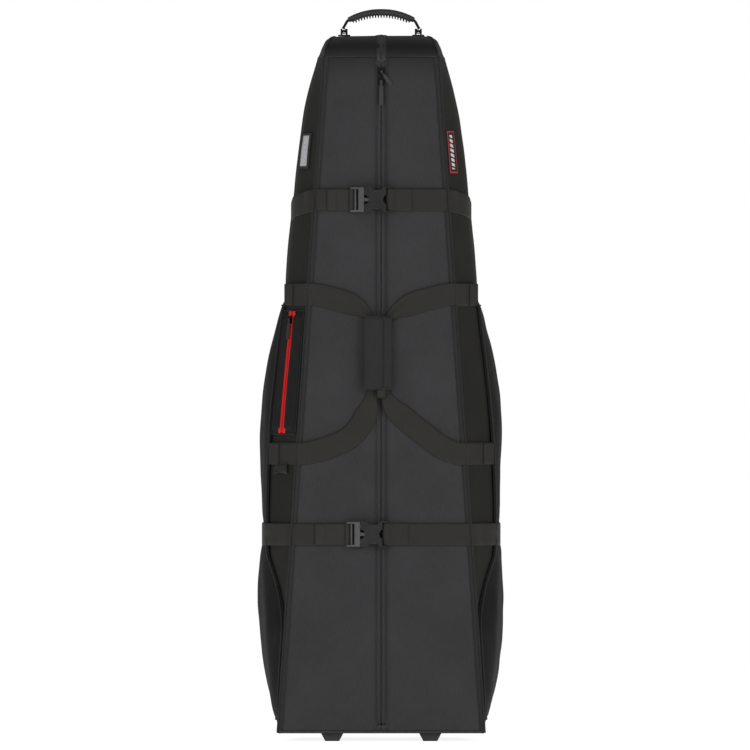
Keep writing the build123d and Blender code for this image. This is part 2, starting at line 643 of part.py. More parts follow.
def foot(side):
    top, sole = FOOT_TOP_W / 2, FOOT_SOLE_W / 2
    outline = [(-top, FOOT_HEIGHT), (top, FOOT_HEIGHT), (sole, 0), (-sole, 0)]
    block = extrude(Plane.XZ * make_face(Polyline(*outline, close=True)), -FOOT_LEN)
    return Pos(side * RUNNING_X, FOOT_FRONT_Y, 0) * block


def wheel_housing(side):
    """Moulded wheel arch with cheeks that carry the axle."""
    inner = WHEEL_W / 2 + CHEEK_GAP
    outer = inner + CHEEK_T
    room = WHEEL_R + WHEEL_ROOM
    top = WHEEL_R + room + HOUSING_T
    front, back = WHEEL_Y - room - HOUSING_T, BACK_Y + 0.5
    block = Pos(0, (front + back) / 2, (FOOT_HEIGHT + top) / 2) * Box(2 * outer, back - front, top - FOOT_HEIGHT)
    block -= Pos(0, WHEEL_Y, WHEEL_R) * Cylinder(room, 2 * inner, rotation=(0, 90, 0))
    block -= Pos(0, WHEEL_Y, 0) * Box(2 * inner, 2 * room, 2 * WHEEL_R)
    block -= Pos(0, WHEEL_Y, WHEEL_R) * Cylinder(BEARING_BORE_R + 0.05, 3 * outer, rotation=(0, 90, 0))
    return Pos(side * RUNNING_X, 0, 0) * block


def axle(side):
    """Bolt through both cheeks with a head, a nut and two spacers."""
    reach = WHEEL_W / 2 + CHEEK_GAP + CHEEK_T
    turned = []
    for x0, x1, radius in ((-reach - AXLE_HEAD_T, -reach - 0.1, AXLE_HEAD_R),
                           (-reach - 0.2, reach + 0.2, BEARING_BORE_R - AXLE_CLEARANCE),
                           (reach + 0.1, reach + AXLE_HEAD_T, AXLE_HEAD_R),
                           (WHEEL_W / 2 + 0.2, WHEEL_W / 2 + CHEEK_GAP - 0.1, 6.0),
                           (-WHEEL_W / 2 - CHEEK_GAP + 0.1, -WHEEL_W / 2 - 0.2, 6.0)):
        turned.append(Pos((x0 + x1) / 2, 0, 0) * Cylinder(radius, x1 - x0, rotation=(0, 90, 0)))
    bolt = turned[0] + turned[1] + turned[2] + turned[3] + turned[4]
    return Pos(side * RUNNING_X, WHEEL_Y, WHEEL_R) * bolt


def wheel(side):
    """Tyre, hub and the pair of bearings."""
    place = Pos(side * RUNNING_X, WHEEL_Y, WHEEL_R)

    def disc(radius, width, x=0.0):
        return Pos(x, 0, 0) * Cylinder(radius, width, rotation=(0, 90, 0))

    tyre = disc(WHEEL_R, WHEEL_W)
    tyre = fillet(tyre.edges(), 7.0) - disc(HUB_R, WHEEL_W + 2)
    hub = disc(HUB_R - 0.02, WHEEL_W - 2) - disc(BEARING_R + 0.02, WHEEL_W + 2)
    hub += disc(BEARING_R + 0.5, WHEEL_W - 2 - 2 * BEARING_W - 0.2) - disc(BEARING_R - 2, WHEEL_W)
    for n in range(5):
        angle = 72 * n
        y, z = 16.8 * math.cos(math.radians(angle)), 16.8 * math.sin(math.radians(angle))
        hub -= Pos(0, y, z) * Cylinder(3.2, WHEEL_W + 2, rotation=(0, 90, 0))
    offset = (WHEEL_W - 2 - BEARING_W) / 2
    bearings = [disc(BEARING_R, BEARING_W, x) - disc(BEARING_BORE_R, BEARING_W + 2, x) for x in (-offset, offset)]
    return place * tyre, place * hub, [place * b for b in bearings]


# ---------------------------------------------------------------- write the parts

def main():
    os.makedirs("parts", exist_ok=True)
    save("back_panel", back_panel() - both_wheel_blocks(0.8))
    save("crown", crown(0) - crown(WALL, 2))
    save("crown_pad", crown(WALL + 2) - crown(WALL + 10, 2))
    save("front_frame", *front_frame())
    save("seam_piping", piping(1), piping(-1))
    save("base_tray", base_plate(FOOT_HEIGHT + 0.2, BASE_PLATE, 0.6))
    save("base_board", base_plate(FOOT_HEIGHT + 0.4 + BASE_PLATE, BASE_BOARD, 2.0))
    save("front_feet", foot(-1), foot(1))
    save("valuables_pocket", *(mirrored(half, -1) for half in valuables_pocket()))
    save("pocket_zip_tape", *(mirrored(half, -1) for half in pocket_zip_tape()))
    save("pocket_slider", pocket_slider())
    save("pocket_pull", pocket_pull())
    for name, shape in zip(("window_frame", "window_card", "window_cover"), id_window()):
        save(name, shape)
    save("badge", strip_patch(*BADGE_Z, *BADGE_ACROSS, 0.6, 2.6))
    save("top_zip", top_zip())
    save("handle_grip", handle_grip())
    save("handle_legs", *handle_legs())
    save("handle_anchors", *handle_anchors())

    fall = STRAP_DROP / (WAIST_Y - FRONT_TOP_Y)
    girth = [girth_half(height_of(STRAP_UP), fall, False), girth_half(height_of(STRAP_LOW), 0.0, True)]
    save("girth_straps", *(mirrored(half, side) for half in girth for side in (1, -1)))
    save("haul_anchors", *(mirrored(stub, side) for stub in haul_anchors() for side in (1, -1)))

    gusset, side_cloth = side_gusset(), side_pockets()
    for name, side in (("right", 1), ("left", -1)):
        save(f"gusset_{name}", mirrored(gusset, side))
        save(f"shoe_pocket_{name}", mirrored(side_cloth[0], side))
        save(f"side_pocket_{name}", mirrored(side_cloth[1], side))
        save(f"flap_{name}", mirrored(front_flap(), side))
        save(f"zip_{name}", mirrored(zip_half(), side))
        save(f"haul_loop_{name}", haul_loop(side))
        save(f"wheel_housing_{name}", wheel_housing(side))
        save(f"axle_{name}", axle(side))
        tyre, hub, bearings = wheel(side)
        save(f"tyre_{name}", tyre)
        save(f"hub_{name}", hub)
        save(f"bearings_{name}", *bearings)

    save("wrap_core", wrap_core())
    save("wrap_flap", wrap_flap())
    straps = (("upper", STRAP_UP, BUCKLE_UP_X, UPPER_TAIL), ("lower", STRAP_LOW, BUCKLE_LOW_X, LOWER_TAIL))
    for name, s, mid, reach in straps:
        save(f"{name}_strap_right", web_right(s, mid))
        save(f"{name}_strap_left", web_left(s, mid))
        save(f"{name}_buckle_female", buckle_female(s, mid))
        save(f"{name}_buckle_male", buckle_male(s, mid))
        save(f"{name}_strap_tail", strap_tail(s, mid, reach))
    for name, s, place, length, lift in (("upper", UPPER_SLIDER, upper_pull_place(), UPPER_PULL, REST_LIFT),
                                         ("lower", LOWER_SLIDER, slider_place(LOWER_SLIDER), LOWER_PULL, 0)):
        save(f"{name}_slider", slider(s) + pin_lugs(place, PIN_H - PLATE_TOP))
        save(f"{name}_pull", pull(place, PIN_H - PLATE_TOP, length, PULL_W, lift))


if __name__ == "__main__":
    main()
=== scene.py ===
import math

import bmesh
import bpy
import numpy as np
from bpy.props import FloatProperty, FloatVectorProperty, IntProperty, PointerProperty
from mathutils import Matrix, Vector


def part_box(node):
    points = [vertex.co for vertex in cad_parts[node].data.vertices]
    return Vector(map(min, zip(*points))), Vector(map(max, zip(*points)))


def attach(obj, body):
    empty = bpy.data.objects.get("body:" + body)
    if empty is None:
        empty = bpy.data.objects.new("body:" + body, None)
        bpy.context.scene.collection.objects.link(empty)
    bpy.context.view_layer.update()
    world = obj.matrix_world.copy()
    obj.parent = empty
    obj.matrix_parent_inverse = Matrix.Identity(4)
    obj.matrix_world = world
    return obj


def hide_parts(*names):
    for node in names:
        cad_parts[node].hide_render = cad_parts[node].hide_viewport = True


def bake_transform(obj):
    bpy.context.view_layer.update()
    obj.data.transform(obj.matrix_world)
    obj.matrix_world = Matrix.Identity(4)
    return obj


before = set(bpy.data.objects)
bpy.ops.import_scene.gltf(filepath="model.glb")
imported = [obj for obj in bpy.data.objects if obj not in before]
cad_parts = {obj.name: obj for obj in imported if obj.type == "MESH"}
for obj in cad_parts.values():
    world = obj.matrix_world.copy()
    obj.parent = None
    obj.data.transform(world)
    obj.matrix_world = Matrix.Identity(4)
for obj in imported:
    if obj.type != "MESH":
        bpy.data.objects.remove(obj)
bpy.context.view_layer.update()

bl_info = {
    "name": "Golf Travel Case",
    "version": (1, 0, 0),
    "blender": (4, 5, 0),
    "location": "View3D > Sidebar > Travel Case",
    "description": "Sews, moulds and finishes a wheeled golf travel case on its packed frame",
    "category": "Add Mesh",
}

MM = 0.001

# ---------------------------------------------------------------- the case's own sizes, in millimetres

BASE_Z, BREAK_Z, CROWN_Z = 14.0, 1230.0, 1269.0
FRONT_BASE_Y, FRONT_TOP_Y, BACK_Y = -162.0, -122.0, 160.0
SEAM_BASE_X, SEAM_TOP_X = 184.0, 101.0
FRONT_RISE = BREAK_Z - BASE_Z
LEAN = math.atan2(FRONT_TOP_Y - FRONT_BASE_Y, FRONT_RISE)
FRONT_LEN = FRONT_RISE / math.cos(LEAN)
SEAM_SLOPE = (SEAM_BASE_X - SEAM_TOP_X) / FRONT_LEN
STRIP_DEPTH = 60.0
WAIST_Y = 10.0
FLAP_LOW, FLAP_HIGH = 16.0, 1207.0
WHEEL_X = 88.0
GROOVE = 9.0
STRAP_UP, STRAP_LOW, WEB_W = 958.0, 357.0, 40.0
HAUL_UP, HAUL_LOW = 788.0, 502.0
WRAP_MID, WRAP_LEN, WRAP_X = 682.0, 131.0, -6.0
BUCKLE_UP_X, BUCKLE_LOW_X = -18.0, -25.0
SPLIT_Z, POCKET_TOP_Z = 371.0, 788.0

RIM_X = ((14, 180), (195, 176), (265, 190), (345, 204), (405, 205), (548, 200), (796, 173.5), (882, 165),
         (972, 155), (1062, 146), (1152, 131), (1230, 110))
WALL_X = ((14, 176), (195, 180), (345, 188), (486, 188), (684, 183), (790, 175), (882, 170), (972, 160),
          (1062, 149), (1152, 136), (1230, 115))
BACK_X = ((14, 166), (405, 168), (790, 156), (1062, 134), (1230, 104))
BELLY_X = ((20, 186), (72, 201), (162, 216), (252, 222), (340, 217), (372, 212), (400, 214), (468, 216),
           (540, 218), (612, 215), (650, 211), (702, 201), (756, 187), (790, 177))


def along(table, z):
    """Value of a (height, value) table at z, a number or an array, on a smooth curve without overshoot."""
    at, value = (np.array([row[k] for row in table], float) for k in (0, 1))
    z = np.clip(z, at[0], at[-1])
    rise = np.diff(value) / np.diff(at)
    slope = np.r_[rise[0], 0.5 * (rise[:-1] + rise[1:]), rise[-1]]
    slope[1:-1][rise[:-1] * rise[1:] <= 0] = 0
    i = np.clip(np.searchsorted(at, z, side="right") - 1, 0, len(at) - 2)
    span = at[i + 1] - at[i]
    t = (z - at[i]) / span
    return ((1 + 2 * t) * (1 - t) ** 2 * value[i] + t * (1 - t) ** 2 * span * slope[i]
            + t * t * (3 - 2 * t) * value[i + 1] + t * t * (t - 1) * span * slope[i + 1])


def front_y(z):
    return FRONT_BASE_Y + (z - BASE_Z) * math.tan(LEAN)


def seam_x(z):
    return SEAM_BASE_X - (z - BASE_Z) / math.cos(LEAN) * SEAM_SLOPE


def seam_at(s):
    return SEAM_BASE_X - s * SEAM_SLOPE


def height_of(s):
    return BASE_Z + s * math.cos(LEAN)


def on_front(x, s, h):
    """Points at x across, s up and h out from the front plane, as an (..., 3) array."""
    x, s, h = np.broadcast_arrays(np.asarray(x, float), np.asarray(s, float), np.asarray(h, float))
    c, n = math.cos(LEAN), math.sin(LEAN)
    return np.stack([x, FRONT_BASE_Y + s * n - h * c, BASE_Z + s * c + h * n], -1)


def on_strip(z, share, lift):
    """Points on the right side's front strip: share of the way from seam to rim, lifted off the cloth."""
    z, share, lift = np.broadcast_arrays(np.asarray(z, float), np.asarray(share, float), np.asarray(lift, float))
    x0, y0 = seam_x(z) + 0.6, front_y(z) + 0.5
    dx, dy = along(RIM_X, z) - x0, front_y(z) + STRIP_DEPTH - y0
    length = np.hypot(dx, dy)
    return np.stack([x0 + share * dx + lift * dy / length, y0 + share * dy - lift * dx / length, z], -1)


def flip(points, side):
    """The same points on the left side when side is -1."""
    out = np.array(points, float)
    out[..., 0] *= side
    return out


# ---------------------------------------------------------------- curves

def resample(points, count):
    """Points spaced evenly along a polyline."""
    points = np.asarray(points, float)
    steps = np.r_[0, np.cumsum(np.linalg.norm(np.diff(points, axis=0), axis=1))]
    at = np.linspace(0, steps[-1], count)
    return np.stack([np.interp(at, steps, points[:, k]) for k in range(points.shape[1])], 1)


def relax(points, rounds):
    """Round a line's corners, its ends fixed."""
    points = np.array(points, float)
    for _ in range(rounds):
        points[1:-1] += 0.5 * (0.5 * (points[:-2] + points[2:]) - points[1:-1])
    return points


def curve_through(points, count):
    """A smooth line through the points."""
    p = np.asarray(points, float)
    p = np.vstack([2 * p[0] - p[1], p, 2 * p[-1] - p[-2]])
    out = []
    for i in range(1, len(p) - 2):
        t = np.linspace(0, 1, 24, endpoint=False)[:, None]
        a, b, c, d = p[i - 1], p[i], p[i + 1], p[i + 2]
        out.append(0.5 * (2 * b + (c - a) * t + (2 * a - 5 * b + 4 * c - d) * t ** 2
                          + (3 * b - a - 3 * c + d) * t ** 3))
    out.append(p[-2:-1])
    return resample(np.vstack(out), count)


def unit(v):
    return v / np.maximum(np.linalg.norm(v, axis=-1, keepdims=True), 1e-9)


def tangents(path):
    return unit(np.gradient(path, axis=0))


def wobble(a, b, seed, scale=1.0):
    """Smooth, repeatable unevenness of about one unit over two arrays of millimetres."""
    rng = np.random.default_rng(seed)
    total = 0
    for wave in (310.0, 170.0, 95.0, 60.0):
        for _ in range(2):
            angle, phase = rng.uniform(0, 2 * np.pi, 2)
            k = 2 * np.pi / (wave * scale)
            total = total + wave / 310.0 * np.sin(k * (a * np.cos(angle) + b * np.sin(angle)) + phase)
    return total / 2.2


def smoothstep(x, low, high):
    t = np.clip((x - low) / (high - low), 0, 1)
    return t * t * (3 - 2 * t)


# ---------------------------------------------------------------- mesh making

class Build:
    """Collects vertices, faces and weave coordinates of one piece, in millimetres."""

    def __init__(self):
        self.verts, self.faces, self.weave, self.count = [], [], [], 0

    def add(self, points, faces, weave=None):
        points = np.asarray(points, float).reshape(-1, 3)
        if weave is None:
            weave = points[:, [0, 2]]
        self.verts.append(points)
        self.weave.append(np.asarray(weave, float).reshape(-1, 2))
        self.faces += [tuple(i + self.count for i in face) for face in faces]
        self.count += len(points)

    def shell(self, outer, inner, weave=None):
        """A closed skin between two grids of the same shape."""
        rows, cols = outer.shape[:2]
        n = rows * cols
        faces = []
        for r in range(rows - 1):
            for c in range(cols - 1):
                quad = (r * cols + c, r * cols + c + 1, (r + 1) * cols + c + 1, (r + 1) * cols + c)
                faces.append(quad)
                faces.append(tuple(n + i for i in quad[::-1]))
        rim = [r * cols for r in range(rows)] + [(rows - 1) * cols + c for c in range(1, cols)]
        rim += [r * cols + cols - 1 for r in range(rows - 2, -1, -1)] + list(range(cols - 2, 0, -1))
        for i, a in enumerate(rim):
            b = rim[(i + 1) % len(rim)]
            faces.append((a, b, n + b, n + a))
        both = None if weave is None else np.vstack([weave.reshape(-1, 2)] * 2)
        self.add(np.vstack([outer.reshape(-1, 3), inner.reshape(-1, 3)]), faces, both)

    def swept(self, rings, weave=None, closed=False):
        """A tube over (stations, section points, 3) rings, capped unless it is closed on itself."""
        stations, n = rings.shape[:2]
        faces = []
        for r in range(stations if closed else stations - 1):
            q = (r + 1) % stations
            for c in range(n):
                d = (c + 1) % n
                faces.append((r * n + c, r * n + d, q * n + d, q * n + c))
        if not closed:
            faces.append(tuple(range(n - 1, -1, -1)))
            faces.append(tuple((stations - 1) * n + c for c in range(n)))
        self.add(rings, faces, weave)

    def tube(self, path, radius, sides=10, closed=False):
        """A round cord along a path."""
        path = np.asarray(path, float)
        t = tangents(path) if not closed else unit(np.roll(path, -1, 0) - np.roll(path, 1, 0))
        ref = np.array([0.0, 0, 1]) if abs(t[0][2]) < 0.8 else np.array([0.0, 1, 0])
        side = unit(np.cross(t, ref))
        up = np.cross(side, t)
        angle = np.linspace(0, 2 * np.pi, sides, endpoint=False)
        radius = np.broadcast_to(np.asarray(radius, float), len(path))[:, None, None]
        rings = path[:, None] + radius * (side[:, None] * np.cos(angle)[None, :, None]
                                          + up[:, None] * np.sin(angle)[None, :, None])
        self.swept(rings, closed=closed)

    def ribbon(self, path, across, width, thick=2.0, crown=0.0):
        """Flat webbing along a path; across is the direction of its width at each point."""
        path = np.asarray(path, float)
        n = len(path)
        across = unit(np.broadcast_to(np.asarray(across, float), path.shape))
        t = tangents(path)
        across = unit(across - t * np.sum(across * t, 1, keepdims=True))
        normal = np.cross(across, t)
        width = np.broadcast_to(np.asarray(width, float), n)
        lanes = np.array([-0.5, -0.485, -0.44, -0.25, 0.0, 0.25, 0.44, 0.485, 0.5])
        swell = np.array([0.30, 0.82, 1.0, 1.0, 1.0, 1.0, 1.0, 0.82, 0.30])
        arch = crown * (1 - (2 * lanes) ** 2)
        top = [(lane, 0.5 * thick * s + a) for lane, s, a in zip(lanes, swell, arch)]
        low = [(lane, -0.5 * thick * s + a) for lane, s, a in zip(lanes[::-1], swell[::-1], arch[::-1])]
        section = np.array(top + low)
        rings = (path[:, None] + across[:, None] * (section[None, :, 0, None] * width[:, None, None])
                 + normal[:, None] * section[None, :, 1, None])
        length = np.r_[0, np.cumsum(np.linalg.norm(np.diff(path, axis=0), axis=1))]
        weave = np.stack(np.broadcast_arrays(section[None, :, 0] * width[:, None], length[:, None]), -1)
        self.swept(rings, weave)

    def stitches(self, path, normal, pitch=5.0, length=3.4, radius=0.42):
        """A row of thread stitches along a path on a surface."""
        path = np.asarray(path, float)
        total = np.linalg.norm(np.diff(path, axis=0), axis=1).sum()
        count = max(2, int(total / pitch))
        at = resample(path, count)
        t = tangents(at)
        normal = unit(np.broadcast_to(np.asarray(normal, float), at.shape)) if np.ndim(normal) == 1 else \
            unit(resample(normal, count))
        side = unit(np.cross(t, normal))
        for p, d, n, w in zip(at, t, normal, side):
            ring = [p + w * radius, p + n * radius, p - w * radius, p - n * radius * 0.6]
            ends = [p - d * length / 2 - n * radius * 0.5, p + d * length / 2 - n * radius * 0.5]
            pts = ends + ring
            faces = [(0, 2, 3), (0, 3, 4), (0, 4, 5), (0, 5, 2), (1, 3, 2), (1, 4, 3), (1, 5, 4), (1, 2, 5)]
            self.add(pts, faces)

    def piece(self, name, material, body=None, slot=None, replaces=(), blend=None, fill=None, sharp=50):
        """Makes the object, gives it its finish and joins it to the frame."""
        verts = np.vstack(self.verts) * MM
        mesh = bpy.data.meshes.new(name)
        mesh.from_pydata(verts.tolist(), [], self.faces)
        layer = mesh.uv_layers.new(name="weave")
        weave = np.vstack(self.weave) * MM
        loops = np.zeros(len(mesh.loops), np.int32)
        mesh.loops.foreach_get("vertex_index", loops)
        layer.data.foreach_set("uv", weave[loops].astype(np.float32).ravel())
        mesh.materials.append(material)
        obj = bpy.data.objects.new(name, mesh)
        bpy.context.scene.collection.objects.link(obj)
        tidy_normals(obj, sharp)
        return join_frame(obj, body, replaces, blend)


def tidy_normals(obj, sharp):
    """Turns every face outward and shades the mesh smooth up to a crease of sharp degrees."""
    mesh = obj.data
    work = bmesh.new()
    work.from_mesh(mesh)
    bmesh.ops.recalc_face_normals(work, faces=work.faces)
    work.to_mesh(mesh)
    work.free()
    mesh.shade_smooth()
    mesh.set_sharp_from_angle(angle=math.radians(sharp))


def join_frame(obj, body, replaces, blend):
    """Hides the parts the object replaces and rides it on its body; a piece to be blended between two bodies is baked
    in place instead.
    """
    if replaces:
        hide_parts(*replaces)
    if blend:
        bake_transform(obj)
    else:
        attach(obj, body)
    return obj


# ---------------------------------------------------------------- finishes

WAVE_SCALE = 0.3142  # a wave texture of this scale repeats once in a metre


class Finish:
    """A node material under construction."""

    def __init__(self, name, roughness=0.6, metallic=0.0, sheen=0.0, specular=0.5):
        self.material = bpy.data.materials.new(name)
        self.material.use_nodes = True
        self.tree = self.material.node_tree
        self.shader = self.tree.nodes["Principled BSDF"]
        for socket, value in (("Roughness", roughness), ("Metallic", metallic), ("Sheen Weight", sheen),
                              ("Sheen Roughness", 0.5), ("IOR", 1.45), ("Specular IOR Level", specular)):
            self.shader.inputs[socket].default_value = value
        self.height = None

    def node(self, kind, **settings):
        made = self.tree.nodes.new(kind)
        for key, value in settings.items():
            if key.startswith("in_"):
                made.inputs[key[3:].replace("_", " ")].default_value = value
            else:
                setattr(made, key, value)
        return made

    def link(self, out, into):
        self.tree.links.new(out, into)

    def place(self, weave=True):
        """Coordinates in metres: along the cloth for made pieces, in the row frame for moulded ones."""
        if weave:
            return self.node("ShaderNodeUVMap", uv_map="weave").outputs["UV"]
        return self.node("ShaderNodeTexCoord").outputs["Object"]

    def noise(self, at, scale, detail=3.0, roughness=0.55, stretch=None):
        if stretch:
            mapping = self.node("ShaderNodeMapping")
            mapping.inputs["Scale"].default_value = stretch
            self.link(at, mapping.inputs["Vector"])
            at = mapping.outputs["Vector"]
        made = self.node("ShaderNodeTexNoise", in_Scale=scale, in_Detail=detail, in_Roughness=roughness)
        self.link(at, made.inputs["Vector"])
        return made.outputs["Fac"]

    def bands(self, at, pitch, direction="X", distortion=0.0, turn=0.0):
        mapping = self.node("ShaderNodeMapping")
        mapping.inputs["Rotation"].default_value = (0, 0, turn)
        self.link(at, mapping.inputs["Vector"])
        made = self.node("ShaderNodeTexWave", wave_type="BANDS", bands_direction=direction, wave_profile="SIN")
        made.inputs["Scale"].default_value = WAVE_SCALE / (pitch * MM)
        made.inputs["Distortion"].default_value = distortion
        made.inputs["Detail"].default_value = 1.0
        self.link(mapping.outputs["Vector"], made.inputs["Vector"])
        return made.outputs["Fac"]

    def math(self, operation, a, b):
        made = self.node("ShaderNodeMath", operation=operation)
        for socket, value in zip(made.inputs, (a, b)):
            if isinstance(value, (int, float)):
                socket.default_value = value
            else:
                self.link(value, socket)
        return made.outputs["Value"]

    def blend_colours(self, factor, dark, light, low=0.3, high=0.7):
        ramp = self.node("ShaderNodeValToRGB")
        ramp.color_ramp.elements[0].position = low
        ramp.color_ramp.elements[0].color = (*dark, 1)
        ramp.color_ramp.elements[1].position = high
        ramp.color_ramp.elements[1].color = (*light, 1)
        self.link(factor, ramp.inputs["Fac"])
        self.link(ramp.outputs["Color"], self.shader.inputs["Base Color"])

    def gloss(self, factor, low, high):
        scaled = self.node("ShaderNodeMapRange")
        scaled.inputs["To Min"].default_value = low
        scaled.inputs["To Max"].default_value = high
        self.link(factor, scaled.inputs["Value"])
        self.link(scaled.outputs["Result"], self.shader.inputs["Roughness"])

    def bump(self, factor, depth, strength=1.0):
        """Adds a layer of relief; depth is in millimetres."""
        made = self.node("ShaderNodeBump")
        made.inputs["Strength"].default_value = strength
        made.inputs["Distance"].default_value = depth * MM
        self.link(factor, made.inputs["Height"])
        if self.height is not None:
            self.link(self.height, made.inputs["Normal"])
        self.height = made.outputs["Normal"]
        self.link(self.height, self.shader.inputs["Normal"])


def shade(colour, factor):
    return tuple(min(1.0, max(0.0, c * factor)) for c in colour)


def painted_shade_ramp(f, near, far, share):
    """Painted shade: the cloth's colour darkens between two distances along it, in metres, down to share of its colour.
    """
    ramp = f.node("ShaderNodeMapRange")
    ramp.inputs["From Min"].default_value = near
    ramp.inputs["From Max"].default_value = far
    ramp.interpolation_type = "SMOOTHSTEP"
    split = f.node("ShaderNodeSeparateXYZ")
    f.link(f.place(), split.inputs[0])
    f.link(split.outputs["Y"], ramp.inputs["Value"])
    mix = f.node("ShaderNodeMix", data_type="RGBA")
    plain = f.shader.inputs["Base Color"].links[0].from_socket
    shaded_colour = f.node("ShaderNodeHueSaturation")
    shaded_colour.inputs["Value"].default_value = share
    f.link(plain, shaded_colour.inputs["Color"])
    f.link(ramp.outputs["Result"], mix.inputs[0])
    f.link(plain, mix.inputs[6])
    f.link(shaded_colour.outputs["Color"], mix.inputs[7])
    f.link(mix.outputs[2], f.shader.inputs["Base Color"])


def woven(name, colour, pitch=0.75, weave=True, roughness=0.78, sheen=0.05, spread=0.16, relief=0.12,
          specular=0.22, fade=None):
    """Packcloth: a plain weave with slubs, faint blotches and a soft sheen."""
    f = Finish(name, roughness=roughness, sheen=sheen, specular=specular)
    at = f.place(weave)
    warp = f.bands(at, pitch, "X", 0.6)
    weft = f.bands(at, pitch * 1.1, "Y" if weave else "Z", 0.6)
    cross = f.math("MAXIMUM", warp, weft)
    blotch = f.noise(at, 9.0, 2.0)
    slub = f.noise(at, 420.0, 2.0, stretch=(1.0, 0.18, 1.0))
    tone = f.math("ADD", f.math("MULTIPLY", blotch, 0.62), f.math("MULTIPLY", slub, 0.38))
    f.blend_colours(tone, shade(colour, 1 - spread), shade(colour, 1 + spread), 0.34, 0.66)
    # the fade paints shade: the cloth darkens along its length, standing in for light falling off
    if fade:
        painted_shade_ramp(f, *fade)
    f.gloss(blotch, roughness - 0.06, roughness + 0.08)
    f.bump(cross, relief, 0.5)
    f.bump(slub, relief * 0.8, 0.4)
    return f.material


def webbing(name, colour, rib=1.5):
    """Nylon webbing: cross ribs and two lengthwise grooves."""
    f = Finish(name, roughness=0.62, sheen=0.04, specular=0.25)
    at = f.place()
    ribs = f.bands(at, rib, "Y", 0.25)
    herring = f.bands(at, rib * 1.6, "X", 0.4, turn=0.6)
    lanes = f.bands(at, 13.0, "X", 0.0)
    fuzz = f.noise(at, 900.0, 2.0)
    blotch = f.noise(at, 14.0, 3.0)
    tone = f.math("ADD", f.math("MULTIPLY", blotch, 0.55),
                  f.math("ADD", f.math("MULTIPLY", fuzz, 0.25), f.math("MULTIPLY", ribs, 0.2)))
    f.blend_colours(tone, shade(colour, 0.78), shade(colour, 1.25), 0.3, 0.72)
    f.gloss(blotch, 0.55, 0.7)
    f.bump(ribs, 0.22, 0.7)
    f.bump(herring, 0.12, 0.5)
    f.bump(lanes, 0.10, 0.4)
    return f.material


def moulded(name, colour, roughness=0.45, grain=0.06, weave=False, spread=0.1, specular=0.4):
    """Injection-moulded plastic or rubber with a fine spark texture."""
    f = Finish(name, roughness=roughness, specular=specular)
    at = f.place(weave)
    fine = f.noise(at, 1400.0, 2.0)
    wide = f.noise(at, 35.0, 3.0)
    f.blend_colours(wide, shade(colour, 1 - spread), shade(colour, 1 + spread), 0.35, 0.7)
    f.gloss(wide, roughness - 0.05, roughness + 0.07)
    f.bump(fine, grain, 0.6)
    return f.material


def plated(name, colour, roughness=0.22, brushed=0.0):
    """Cast or turned metal with fine polishing marks."""
    f = Finish(name, roughness=roughness, metallic=1.0)
    at = f.place(False)
    marks = f.noise(at, 260.0, 2.0, stretch=(1.0, 1.0, 14.0 if brushed else 1.0))
    worn = f.noise(at, 60.0, 3.0)
    f.blend_colours(worn, shade(colour, 0.82), shade(colour, 1.1), 0.35, 0.7)
    f.gloss(marks, max(0.08, roughness - 0.06), roughness + 0.1)
    f.bump(marks, 0.02 + brushed, 0.4)
    return f.material


def clear_vinyl():
    """Soft clear film with a little haze."""
    f = Finish("clear_vinyl", roughness=0.12, specular=0.5)
    haze = f.noise(f.place(), 60.0, 3.0)
    f.blend_colours(haze, (0.62, 0.63, 0.65), (0.78, 0.79, 0.8))
    f.shader.inputs["Alpha"].default_value = 0.32
    f.bump(haze, 0.05, 0.3)
    return f.material


FINISH = {}


def finish(name):
    """The finish of that name, made the first time it is asked for."""
    if name not in FINISH:
        FINISH[name] = RECIPES[name]()
    return FINISH[name]


def tint(key):
    return tuple(getattr(bpy.context.scene.case_finishes, key))


